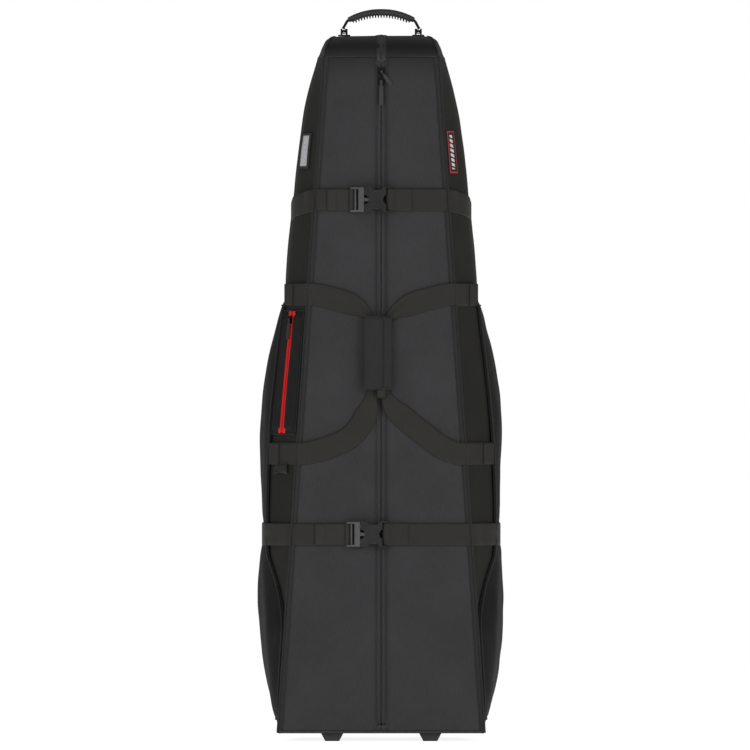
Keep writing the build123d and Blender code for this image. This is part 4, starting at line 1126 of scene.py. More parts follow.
class CASE_OT_side_pockets(CaseOperator, bpy.types.Operator):
    """Sew the tall side pockets and the shoe pockets under them, with piped edges"""
    bl_idname = "case.side_pockets"
    bl_label = "Side and shoe pockets"

    def make(self):
        both_sides(self.pair)

    def pair(self, side, name):
        self.pocket(side, f"shoe_pocket_{name}", 33.0, SPLIT_Z - 1.5, 60 + side)
        self.pocket(side, f"side_pocket_{name}", SPLIT_Z + 1.5, POCKET_TOP_Z, 70 + side)

    def pocket(self, side, node, low, high, seed):
        heights = np.linspace(low, high, int((high - low) / 5.5))
        count = 60
        outer = np.array([belly_row(z, count) for z in heights])
        wall = np.array([gusset_row(z, count, 0.7) for z in heights])
        normal = face_out(outer, (1, 0, 0))
        reach = np.linspace(0, 1, count)[None, :]
        inside = smoothstep(reach, 0.02, 0.16) * (1 - smoothstep(reach, 0.86, 1.0))
        ends = np.minimum(heights - low, high - heights)[:, None]
        open_cloth = smoothstep(ends, 0, 40)
        slack = wobble(outer[..., 1], outer[..., 2], seed, 0.75)
        folds = np.sin((outer[..., 2] + 0.55 * outer[..., 1]) / 17.0 + 2.0 * slack) * np.exp(-ends / 26.0)
        swell = (1.5 * slack + 0.9 * folds * smoothstep(ends, 2, 14)) * inside * open_cloth
        outer = outer + normal * swell[..., None]
        tuck = 1 - smoothstep(ends, 0, 10)
        nearest = np.array([w[np.argmin(np.abs(w[:, 1][:, None] - o[:, 1][None]), axis=0)] for w, o in
                            zip(wall, outer)])
        outer[..., 0] += (nearest[..., 0] - outer[..., 0]) * (tuck ** 2) * 0.7
        inner = outer - normal * 2.4
        b = Build()
        b.shell(flip(outer, side), flip(inner, side), cloth_lengths(outer))
        b.piece(f"{node}_cloth", finish("pocket"), "case", "side_cloth", (node,))
        cord = Build()
        rim = outer[:, 1] + normal[:, 1] * 0.9
        cord.tube(flip(rim, side), sizes().piping * 1.05, 10)
        for row in (1, -2):
            line = outer[row] + normal[row] * 0.6
            cord.tube(flip(line[:-3], side), sizes().piping * 0.9, 8)
        cord.piece(f"{node}_piping", finish("piping"), "case", "piping")
        thread = Build()
        pitch = sizes().stitch_pitch
        for column in (4, count - 5):
            line = outer[3:-3, column] + normal[3:-3, column] * 0.25
            thread.stitches(flip(line, side), flip(normal[3:-3, column], side), pitch, pitch * 0.68, 0.35)
        thread.piece(f"{node}_thread", finish("thread"), "case", "side_cloth")


POCKET_LOW, POCKET_HIGH = 550.0, 774.0
POCKET_EDGES = (0.10, 0.92)
RED_AT = 0.515
TAPE_LIFT = 5.4


def strip_length(z):
    return np.hypot(along(RIM_X, z) - seam_x(z), STRIP_DEPTH)


class CASE_OT_valuables_pocket(CaseOperator, bpy.types.Operator):
    """Sew the flat pocket with the red zip on the left side"""
    bl_idname = "case.valuables_pocket"
    bl_label = "Valuables pocket"

    def make(self):
        heights = np.linspace(POCKET_LOW, POCKET_HIGH, 90)
        ends = np.minimum(heights - POCKET_LOW, POCKET_HIGH - heights)
        puff = 1.0 + (7.4 * smoothstep(ends, 0, 16))
        b = Build()
        thread = Build()
        for edge, sign in ((POCKET_EDGES[0], -1), (POCKET_EDGES[1], 1)):
            slit = RED_AT + sign * 5.6 / strip_length(heights)
            t = np.linspace(0, 1, 16)
            share = edge + (slit[:, None] - edge) * t[None]
            lift = puff[:, None] * (0.16 + 0.84 * smoothstep(t, 0.0, 0.28))[None]
            lift = lift + 0.5 * wobble(heights[:, None], 60 * share, 91 + sign, 0.5) * smoothstep(t, 0.1, 0.4)[None]
            lift = np.minimum(lift, 8.9)
            lift = lift - (1.4 * smoothstep(t, 0.86, 1.0) ** 2)[None] * smoothstep(ends, 2, 12)[:, None]
            outer = on_strip(heights[:, None], share, lift)
            inner = on_strip(heights[:, None], share, np.maximum(lift - 1.6, 0.3))
            b.shell(flip(outer, -1), flip(inner, -1), cloth_lengths(outer))
            for at in (2, 12):
                line = outer[2:-2, at]
                near = on_strip(heights[:, None], share, lift + 1.0)[2:-2, at]
                thread.stitches(flip(line, -1), flip(near - line, -1), 4.4, 3.0, 0.35)
        b.piece("valuables_pocket_cloth", finish("pocket"), "case", "side_cloth", ("valuables_pocket",))
        thread.piece("valuables_pocket_thread", finish("thread"), "case", "side_cloth")
        cord = Build()
        outline = [(POCKET_LOW + 1, a) for a in np.linspace(*POCKET_EDGES, 14)]
        outline += [(z, POCKET_EDGES[1]) for z in np.linspace(POCKET_LOW + 6, POCKET_HIGH - 6, 60)]
        outline += [(POCKET_HIGH - 1, a) for a in np.linspace(*POCKET_EDGES[::-1], 14)]
        outline += [(z, POCKET_EDGES[0]) for z in np.linspace(POCKET_HIGH - 6, POCKET_LOW + 6, 60)]
        z, share = np.array(outline).T
        cord.tube(flip(on_strip(z, share, 1.4), -1), 1.25, 8, closed=True)
        cord.piece("valuables_pocket_piping", finish("piping"), "case", "piping")
        self.zip()

    def zip(self):
        heights = np.linspace(POCKET_LOW + 2.5, POCKET_HIGH - 2.5, 80)
        tape, coil = Build(), Build()
        for sign in (-1, 1):
            off = np.array([9.3, 6.5, 4.0, 1.4]) * sign
            share = RED_AT + off[None] / strip_length(heights)[:, None]
            lift = np.full_like(share, TAPE_LIFT + 1.0)
            lift[:, 0] -= 0.3
            outer = on_strip(heights[:, None], share, lift)
            inner = on_strip(heights[:, None], share, lift - 0.9)
            tape.shell(flip(outer, -1), flip(inner, -1), cloth_lengths(outer))
            pitch = 2.4
            for z in np.arange(POCKET_LOW + 6, POCKET_HIGH - 6, pitch) + (pitch / 2 if sign > 0 else 0):
                spots = []
                for off_mm, up, wide in ((2.9, 1.2, 0.45), (1.4, 1.7, 0.55), (-0.5, 1.9, 0.7)):
                    at = on_strip(z, RED_AT + sign * off_mm / strip_length(z), TAPE_LIFT + up)
                    for dz, dl in ((wide, 0), (0, wide), (-wide, 0), (0, -wide)):
                        spots.append(at + np.array([dl * 0.75, -dl * 0.65, dz]))
                coil.swept(flip(np.array(spots).reshape(3, 4, 3), -1))
        tape.piece("valuables_zip_tape", finish("red"), "case", "red_tape", ("pocket_zip_tape",))
        coil.piece("valuables_zip_coil", finish("red_coil"), "case", "red_tape")
        dress("pocket_slider", "metal", 0.35)
        dress("pocket_pull", "pull", 0.5)


# ---------------------------------------------------------------- front flaps

def haul_line(side):
    """Middle line of a haul loop: (distance from the middle, s) from the upper seam, through the wrap, and down."""
    if side > 0:
        top = [(seam_at(HAUL_UP) - 12.5, HAUL_UP), (96, HAUL_UP - 5), (70, HAUL_UP - 12), (44, HAUL_UP - 22),
               (24, HAUL_UP - 34), (11, HAUL_UP - 50), (7.5, WRAP_MID + 36)]
        low = [(7.5, WRAP_MID - 46), (9, WRAP_MID - 74), (20, WRAP_MID - 96), (40, WRAP_MID - 115),
               (68, WRAP_MID - 138), (98, WRAP_MID - 161), (seam_at(HAUL_LOW) - 32, HAUL_LOW + 7),
               (seam_at(HAUL_LOW) - 13.5, HAUL_LOW + 1)]
    else:
        top = [(seam_at(HAUL_UP) - 12.5, HAUL_UP), (100, HAUL_UP - 4), (76, HAUL_UP - 10), (50, HAUL_UP - 19),
               (32, HAUL_UP - 30), (19, HAUL_UP - 47), (14, WRAP_MID + 36)]
        low = [(14, WRAP_MID - 46), (17, WRAP_MID - 74), (24, WRAP_MID - 102), (38, WRAP_MID - 130),
               (62, WRAP_MID - 154), (98, WRAP_MID - 170), (seam_at(HAUL_LOW) - 12.5, HAUL_LOW)]
    return np.array(top + low, float)


def clear_of(x, s, line, near, far):
    """0 on the line, 1 well away from it."""
    gap = np.full(x.shape, 1e9)
    for px, ps in resample(line, 60):
        gap = np.minimum(gap, np.hypot(x - px, s - ps))
    return smoothstep(gap, near, far)


def flap_height(x, s, side=1):
    """Height of the padded flap over the front plane at x (from the middle, right side) and s."""
    edge_seam = seam_at(s) - 5.0 - x
    edge_zip = x - GROOVE
    room = smoothstep(np.minimum(edge_seam, edge_zip), 2, 36)
    ends = smoothstep(np.minimum(s - FLAP_LOW, FLAP_HIGH - s), 2, 50)
    free = clear_of(x, s, haul_line(side), 24, 62)
    for at in (STRAP_UP, STRAP_LOW):
        free = free * smoothstep(np.abs(s - at), 21, 74)
    free = free * smoothstep(np.hypot(np.maximum(x - 19, 0), np.maximum(np.abs(s - WRAP_MID) - 66, 0)), 4, 40)
    free = free * (1 - 0.9 * smoothstep(s, 1110, 1150))
    h = -0.35 + sizes().puff * room * ends * free
    h = h + 0.34 * wobble(x, s, 3, 1.0) * smoothstep(np.minimum(edge_seam, edge_zip), 3, 20) * (0.25 + 0.75 * free)
    h = h - 3.6 * (1 - smoothstep(edge_zip, -0.5, 6.5)) - 2.6 * (1 - smoothstep(edge_seam, -0.5, 5.0))
    h = (h - 1.3 * (1 - smoothstep(s - FLAP_LOW + 13, -0.5, 3.5))
         - 0.3 * (1 - smoothstep(FLAP_HIGH + 6.6 - s, -0.5, 2.0)))
    dent = np.exp(-((edge_zip - 7.2) / 1.1) ** 2) + np.exp(-((edge_seam - 6.0) / 1.1) ** 2)
    return h - 0.45 * dent


class CASE_OT_flaps(CaseOperator, bpy.types.Operator):
    """Sew the two padded front flaps, their linings, bound edges and top stitching"""
    bl_idname = "case.flaps"
    bl_label = "Front flaps"

    def make(self):
        both_sides(self.flap)

    def flap(self, side, name):
        low, high = FLAP_LOW - 13.0, FLAP_HIGH + 6.6
        s = np.r_[np.linspace(low, low + 6, 5)[:-1], np.linspace(low + 6, high - 6, 252),
                  np.linspace(high - 6, high, 5)[1:]]
        share = np.r_[0, 0.010, 0.022, 0.036, 0.05, 0.07, np.linspace(0.09, 0.93, 34), 0.955, 0.972, 0.984, 0.993, 1.0]
        half = seam_at(s)[:, None] - 5.0
        x = GROOVE + share[None] * (half - GROOVE)
        grid_s = np.broadcast_to(s[:, None], x.shape)
        h = flap_height(x, grid_s, side)
        if side < 0:
            h = h + 0.22 * wobble(x, grid_s, 8, 1.1) * smoothstep(np.minimum(half - x, x - GROOVE), 4, 24)
        outer = on_front(x, grid_s, h)
        quilt = 0.5 * (np.cos((x + grid_s) / 9.5) * np.cos((x - grid_s) / 9.5))
        lining = -9.0 + 0.9 * smoothstep(np.abs(quilt), 0.0, 0.5) * \
            smoothstep(np.minimum(half - x, x - GROOVE), 6, 20)
        hem = np.minimum(grid_s - FLAP_LOW, FLAP_HIGH - grid_s) < 0.4
        inner = on_front(x, grid_s, np.where(hem, np.minimum(h - 0.7, -2.5), np.minimum(lining, -7.9)))
        b = Build()
        b.shell(flip(outer, side), flip(inner, side), cloth_lengths(outer))
        obj = b.piece(f"front_flap_{name}", finish("panel"), f"{name}_flap", "panel_cloth", (f"flap_{name}",),
                      fill=0.45)
        self.line_inside(obj)
        thread = Build()
        pitch = sizes().stitch_pitch
        rise = np.linspace(FLAP_LOW + 5, FLAP_HIGH - 5, 400)
        for line_x in (GROOVE + 7.2 + 0 * rise, seam_at(rise) - 11.0):
            line = on_front(line_x, rise, flap_height(line_x, rise, side) + 0.12)
            thread.stitches(flip(line, side), (0, -1, 0.03), pitch, pitch * 0.66, 0.36)
        thread.piece(f"flap_thread_{name}", finish("thread"), f"{name}_flap", "panel_cloth")
        binding = Build()
        line = on_front(GROOVE + 0.2, rise, -4.3)
        binding.tube(flip(line, side), 1.3, 8)
        binding.piece(f"flap_binding_{name}", finish("piping"), f"{name}_flap", "piping")

    def line_inside(self, obj):
        """The flap's inner face takes the lining cloth."""
        obj.data.materials.append(finish("lining"))
        lean = Vector((0, math.cos(LEAN), -math.sin(LEAN)))
        for face in obj.data.polygons:
            if face.normal.dot(lean) > 0.6:
                face.material_index = 1


class CASE_OT_hinge_welts(CaseOperator, bpy.types.Operator):
    """Sew the soft welts that join the flaps to the gussets, outside and in"""
    bl_idname = "case.hinge_welts"
    bl_label = "Hinge welts"

    def make(self):
        both_sides(self.welt)

    def welt(self, side, name):
        """The rolled seam between the front and the gusset, and the lining that folds behind it."""
        s = np.linspace(2, FRONT_LEN - 2, 240)
        seam = seam_at(s)
        lines = []
        for dx, h in ((2.6, -0.6), (1.2, 0.5), (-0.6, 0.75), (-2.6, 0.45), (-4.6, -0.2), (-6.2, -1.3), (-7.6, -2.2)):
            lines.append(on_front(seam + dx, s, h + 0.12 * wobble(s, 0 * s + dx, 55 + side, 0.6)))
        outer = np.stack(lines, 1)
        inner = outer + np.array([0, 1.0, 0])
        b = Build()
        b.shell(flip(outer, side), flip(inner, side), cloth_lengths(outer))
        mid = 600.0
        start, end = self.square_to_seam(side, mid, 1.6), self.square_to_seam(side, mid, -5.2)
        b.piece(f"hinge_welt_{name}", finish("piping"), slot="piping", blend=("case", f"{name}_flap", start, end))
        lining = Build()
        lines = []
        for dx, h in ((1.4, -3.5), (0.4, -6.0), (-1.8, -8.2), (-4.4, -8.6), (-6.6, -8.3)):
            lines.append(on_front(seam + dx, s, h))
        rows = np.stack(lines, 1)
        lining.shell(flip(rows, side), flip(rows + np.array([0, 0.8, 0]), side), cloth_lengths(rows))
        lining.piece(f"hinge_lining_{name}", finish("lining"), slot="side_cloth",
                     blend=("case", f"{name}_flap", self.square_to_seam(side, mid, 1.2),
                            self.square_to_seam(side, mid, -5.0)))

    def square_to_seam(self, side, s, across):
        """A point beside the seam, measured square to it."""
        slope = math.atan(SEAM_SLOPE)
        x, rise = seam_at(s) + across * math.cos(slope), s + across * math.sin(slope)
        return flip(on_front(x, rise, 0), side)


# ---------------------------------------------------------------- centre zip

class CASE_OT_centre_zip(CaseOperator, bpy.types.Operator):
    """Make the centre zip: woven tapes, interlocking coil, the end over the brow and the sliders"""
    bl_idname = "case.centre_zip"
    bl_label = "Centre zip"

    def make(self):
        both_sides(self.half)
        self.brow()
        self.end()
        for name in ("upper", "lower"):
            dress(f"{name}_slider", "metal", 0.45, 3)
            dress(f"{name}_pull", "pull", 0.55, 3)

    def half(self, side, name):
        s = np.linspace(FLAP_LOW, FLAP_HIGH, 300)
        lines = []
        for x, h in ((13.5, -3.9), (9.4, -3.3), (7.6, -3.9), (6.9, -5.3), (4.6, -6.7), (3.0, -7.2), (1.3, -7.4)):
            lines.append(on_front(x, s, h + 0.1 * wobble(s, 0 * s + x, 23 + side, 0.4)))
        outer = np.stack(lines, 1)
        b = Build()
        b.shell(flip(outer, side), flip(outer + np.array([0, 0.9, 0]), side), cloth_lengths(outer))
        b.piece(f"centre_zip_tape_{name}", finish("tape"), f"{name}_flap", "zip_tape", (f"zip_{name}",))
        coil = Build()
        pitch = sizes().coil_pitch
        for at in np.arange(FLAP_LOW + 3, FLAP_HIGH - 3, pitch):
            self.tooth(coil, at + (pitch / 2 if side > 0 else 0), side)
        coil.piece(f"centre_zip_coil_{name}", finish("coil"), f"{name}_flap", "zip_tape")
        thread = Build()
        thread.stitches(flip(on_front(8.4, s, -3.5), side), (0, -1, 0), 3.6, 2.5, 0.28)
        thread.piece(f"centre_zip_thread_{name}", finish("thread"), f"{name}_flap", "zip_tape")

    def tooth(self, b, s, side, lift=0.0):
        rings = []
        for x, h, wide, tall in ((4.0, -7.0, 0.45, 0.35), (2.4, -6.5, 0.5, 0.45), (0.4, -6.45, 0.56, 0.5),
                                 (-0.45, -6.5, 0.62, 0.5)):
            angle = np.linspace(0, 2 * np.pi, 6, endpoint=False)
            rings.append(on_front(x + 0 * angle, s + wide * np.cos(angle), h + lift + tall * np.sin(angle)))
        b.swept(flip(np.array(rings), side))

    def end(self):
        """The zip's lower end, sewn down on the frame between the flaps' corners."""
        s = np.linspace(0.8, FLAP_LOW - 0.6, 14)
        tape, coil = Build(), Build()
        for side in (1, -1):
            lines = [on_front(x, s, h) for x, h in ((8.7, -2.7), (8.2, -2.1), (6.6, -1.8), (4.4, -2.2), (1.0, -2.3))]
            outer = np.stack(lines, 1)
            tape.shell(flip(outer, side), flip(outer + np.array([0, 0.7, 0]), side), cloth_lengths(outer))
            for at in np.arange(1.6, FLAP_LOW - 1.5, sizes().coil_pitch):
                self.tooth(coil, at + (sizes().coil_pitch / 2 if side > 0 else 0), side, 4.8)
        tape.piece("zip_end_tape", finish("tape"), "case", "zip_tape")
        coil.piece("zip_end_coil", finish("coil"), "case", "zip_tape")

    def brow(self):
        """The zip's end on the brow: a band with both tapes, the coil between them and a cover at its end."""
        start = height_of(FLAP_HIGH + 1.5)
        run = [(front_y(start), start), (-122.3, 1230.0), (-114.6, 1242.2), (-93.0, 1256.6), (-58.0, 1264.9),
               (-18.0, 1268.9), (14.0, 1269.8)]
        path = curve_through(run, 60)
        t = tangents(path)
        normal = np.stack([t[:, 1], -t[:, 0]], 1) * -1
        normal = np.where((normal @ np.array([-1, 0.6]))[:, None] < 0, -normal, normal)
        tape, coil = Build(), Build()
        for sign in (1, -1):
            lines = []
            for x, lift in ((8.4, 0.15), (8.0, 0.85), (6.0, 1.05), (4.0, 0.9), (1.4, 0.7)):
                yz = path + normal * lift
                lines.append(np.c_[np.full(len(yz), sign * x), yz])
            rows = np.stack(lines, 1)
            tape.shell(rows, rows - np.c_[np.zeros(len(path)), normal][:, None] * 0.7, cloth_lengths(rows))
        pitch = sizes().coil_pitch
        total = np.linalg.norm(np.diff(path, axis=0), axis=1).sum()
        spots = resample(path, int(total / pitch * 2))
        lean = resample(np.c_[path, normal], len(spots))[:, 2:]
        for k, (spot, out) in enumerate(zip(spots[:-4], lean)):
            sign = 1 if k % 2 else -1
            step = tangents(spots)[k]
            rings = []
            for x, lift, wide, tall in ((3.6, 0.9, 0.45, 0.35), (2.2, 1.2, 0.5, 0.45), (-0.45, 1.2, 0.6, 0.5)):
                ring = []
                for angle in np.linspace(0, 2 * np.pi, 6, endpoint=False):
                    yz = spot + step * wide * math.cos(angle) + out * (lift + tall * math.sin(angle))
                    ring.append((sign * x, *yz))
                rings.append(ring)
            coil.swept(np.array(rings))
        tape.piece("brow_zip_tape", finish("tape"), "case", "zip_tape", ("top_zip",))
        coil.piece("brow_zip_coil", finish("coil"), "case", "zip_tape")
        cover = Build()
        lines = []
        for u in np.linspace(-1, 1, 15):
            y = np.linspace(8, 26, 10)
            lines.append(np.stack([np.full(10, u * 10.5), y, 1270.0 + 0.7 * (1 - u * u) + 0 * y], 1))
        rows = np.array(lines)
        cover.shell(rows, rows - np.array([0, 0, 1.4]), cloth_lengths(rows))
        cover.piece("zip_end_cover", finish("web"), "case", "webbing")


# ---------------------------------------------------------------- webbing

def box_stitch(b, corners, out, pitch=3.4):
    """A sewn box with its cross, over four corners."""
    corners = np.asarray(corners, float)
    for i, j in ((0, 1), (1, 2), (2, 3), (3, 0), (0, 2), (1, 3)):
        line = np.linspace(corners[i], corners[j], 12)
        b.stitches(line, out, pitch, pitch * 0.66, 0.38)


def front_box(x0, x1, s0, s1, h):
    return [on_front(x, s, h) for x, s in ((x0, s0), (x1, s0), (x1, s1), (x0, s1))]


OUT = np.array([0.0, -math.cos(LEAN), math.sin(LEAN)])
UP = np.array([0.0, math.sin(LEAN), math.cos(LEAN)])


class CASE_OT_girth_straps(CaseOperator, bpy.types.Operator):
    """Run the two girth straps round the sides and back and over the hinge seams"""
    bl_idname = "case.girth_straps"
    bl_label = "Girth straps"

    def make(self):
        case = Build()
        for s, fall, pocketed in ((STRAP_UP, 24.0 / (WAIST_Y - FRONT_TOP_Y), False), (STRAP_LOW, 0.0, True)):
            for side in (1, -1):
                path, across, split = self.side_line(s, fall, pocketed)
                name = ("upper" if s == STRAP_UP else "lower") + ("_right" if side > 0 else "_left")
                near, far = path[:split + 2], path[split:]
                case.ribbon(flip(far, side), across[split:], WEB_W, 2.0)
                cross = Build()
                cross.ribbon(flip(near, side), across[:split + 2], WEB_W, 2.0, 0.15)
                start = flip(on_front(seam_at(s) + 3.5, s, 0), side)
                end = flip(on_front(seam_at(s) - 7.5, s, 0), side)
                body = "right_flap" if side > 0 else "left_flap"
                cross.piece(f"{name}_strap_crossing", finish("web"), slot="webbing", blend=("case", body, start, end))
        case.piece("girth_webbing", finish("web"), "case", "webbing", ("girth_straps",))
        self.back_tabs()

    def side_line(self, s, fall, pocketed):
        """Middle line of the strap from the flap, over the seam, round the side to the middle of the back."""
        z = height_of(s)
        points = [on_front(seam_at(s) - back, s, lift) for back, lift in ((24, 2.5), (12, 2.5), (3, 2.7))]
        if pocketed:
            row = belly_row(z, 60, 2.6)
            points += [on_strip(z, share, lift) for share, lift in ((0.12, 2.3), (0.45, 2.6), (0.8, 3.8))]
            points += list(row[3:-3:4])
            reach = along(BACK_X, z) + 11.0
        else:
            row = gusset_row(z, 60, 2.6)
            points += list(row[3:-6:4])
            reach = along(BACK_X, z) + 3.5
        points += [np.array([reach, BACK_Y - 12.0, z]), np.array([reach - 6, BACK_Y + 1.0, z]),
                   np.array([reach - 24, BACK_Y + 2.9, z]), np.array([reach * 0.5, BACK_Y + 3.1, z]),
                   np.array([0.0, BACK_Y + 3.1, z])]
        points = np.array(points)
        points[:, 2] = points[:, 2] - fall * np.maximum(points[:, 1] - front_y(z), 0) * (points[:, 1] > front_y(z) + 1)
        path = relax(curve_through(points, 160), 3)
        share = np.searchsorted(path[:, 1] - front_y(z), 26.0)
        turned = smoothstep(path[:, 1] - front_y(z), 6, 34)[:, None]
        return path, UP + (np.array([0.0, fall, 1.0]) - UP) * turned, int(share)

    def back_tabs(self):
        """Loops on the back that keep the straps level."""
        b, thread = Build(), Build()
        for z in (height_of(STRAP_UP) - 24.0 / (WAIST_Y - FRONT_TOP_Y) * (BACK_Y - front_y(950)), height_of(STRAP_LOW)):
            for x in (-70.0, 70.0):
                path = [(x, BACK_Y + 1.6, z + 36), (x, BACK_Y + 2.0, z + 26), (x, BACK_Y + 4.6, z + 20),
                        (x, BACK_Y + 5.3, z), (x, BACK_Y + 4.6, z - 20), (x, BACK_Y + 2.0, z - 26),
                        (x, BACK_Y + 1.6, z - 36)]
                b.ribbon(curve_through(path, 40), (1, 0, 0), 22.0, 1.4)
                for end in (31, -31):
                    box_stitch(thread, [(x - 8, BACK_Y + 2.6, z + end - 4), (x + 8, BACK_Y + 2.6, z + end - 4),
                                        (x + 8, BACK_Y + 2.6, z + end + 4), (x - 8, BACK_Y + 2.6, z + end + 4)],
                               (0, 1, 0))
        b.piece("back_strap_keepers", finish("web"), "case", "webbing")
        thread.piece("back_keeper_thread", finish("thread"), "case", "webbing")


class CASE_OT_front_straps(CaseOperator, bpy.types.Operator):
    """Thread the front straps and tails through the two side-release buckles"""
    bl_idname = "case.front_straps"
    bl_label = "Front straps and buckles"

    def make(self):
        for name, s, mid, reach in (("upper", STRAP_UP, BUCKLE_UP_X, 78.0), ("lower", STRAP_LOW, BUCKLE_LOW_X, 93.0)):
            self.right(name, s, mid)
            self.left(name, s, mid)
            self.tail(name, s, mid, reach)
            dress(f"{name}_buckle_female", "buckle", 1.1, 3)
            dress(f"{name}_buckle_male", "latch", 0.8, 3)

    def line(self, points, s, count=110, sway=0.0):
        path = curve_through(points, count)
        drift = sway * np.sin(np.linspace(0, 2.6, count))
        return on_front(path[:, 0], s + drift, path[:, 1])

    def right(self, name, s, mid):
        end, bar = seam_at(s) - 14.0, mid + 33.0
        path = [(end, 2.5), ((end + bar) / 2, 2.55), (bar + 12, 2.5), (bar + 2, 2.5), (bar - 3.6, 3.1),
                (bar - 5.2, 6.0),
                (bar - 3.8, 9.4), (bar + 1.0, 10.3), (bar + 6.5, 8.6), (bar + 12, 5.8), (bar + 20, 4.7),
                (bar + 34, 4.6), (bar + 40, 4.6)]
        b = Build()
        b.ribbon(self.line(path, s, 150), UP, WEB_W, 2.0)
        b.piece(f"{name}_webbing_right", finish("web"), "right_flap", "webbing", (f"{name}_strap_right",))
        thread = Build()
        box_stitch(thread, front_box(bar + 18, bar + 37, s - 16, s + 16, 5.7), OUT)
        thread.piece(f"{name}_strap_thread_right", finish("thread"), "right_flap", "webbing")

    def left(self, name, s, mid):
        end = seam_at(s) - 14.0
        b = Build()
        path = [(-end, 2.5), (-(end + 30) / 2, 2.55), (mid - 60, 2.5), (mid - 29, 2.5)]
        b.ribbon(self.line(path, s, 60), UP, WEB_W, 2.0)
        b.piece(f"{name}_webbing_left", finish("web"), "left_flap", "webbing", (f"{name}_strap_left",))

    def tail(self, name, s, mid, reach):
        path = [(mid - reach, 5.7), (mid - reach + 16, 5.7), (mid - 52, 5.2), (mid - 42, 5.6), (mid - 39.4, 8.0),
                (mid - 37.6, 10.1), (mid - 34.4, 10.2), (mid - 32.6, 8.6), (mid - 32.4, 6.2)]
        b = Build()
        b.ribbon(self.line(path, s, 110, 0.4), UP, WEB_W - 2.5, 1.7)
        x0 = mid - reach
        hem = [(x0 + 15, 7.0), (x0 + 5, 7.1), (x0 + 0.8, 6.9), (x0 - 0.6, 6.3), (x0 + 0.6, 5.7)]
        b.ribbon(self.line(hem, s, 30), UP, WEB_W - 2.8, 1.1)
        b.piece(f"{name}_webbing_tail", finish("web_worn"), f"{name}_buckle", "webbing", (f"{name}_strap_tail",))
        thread = Build()
        for x in (x0 + 4, x0 + 12):
            thread.stitches(on_front(x, np.linspace(s - 16, s + 16, 20), 7.6), OUT, 3.2, 2.2, 0.36)
        thread.piece(f"{name}_tail_thread", finish("thread"), f"{name}_buckle", "webbing")


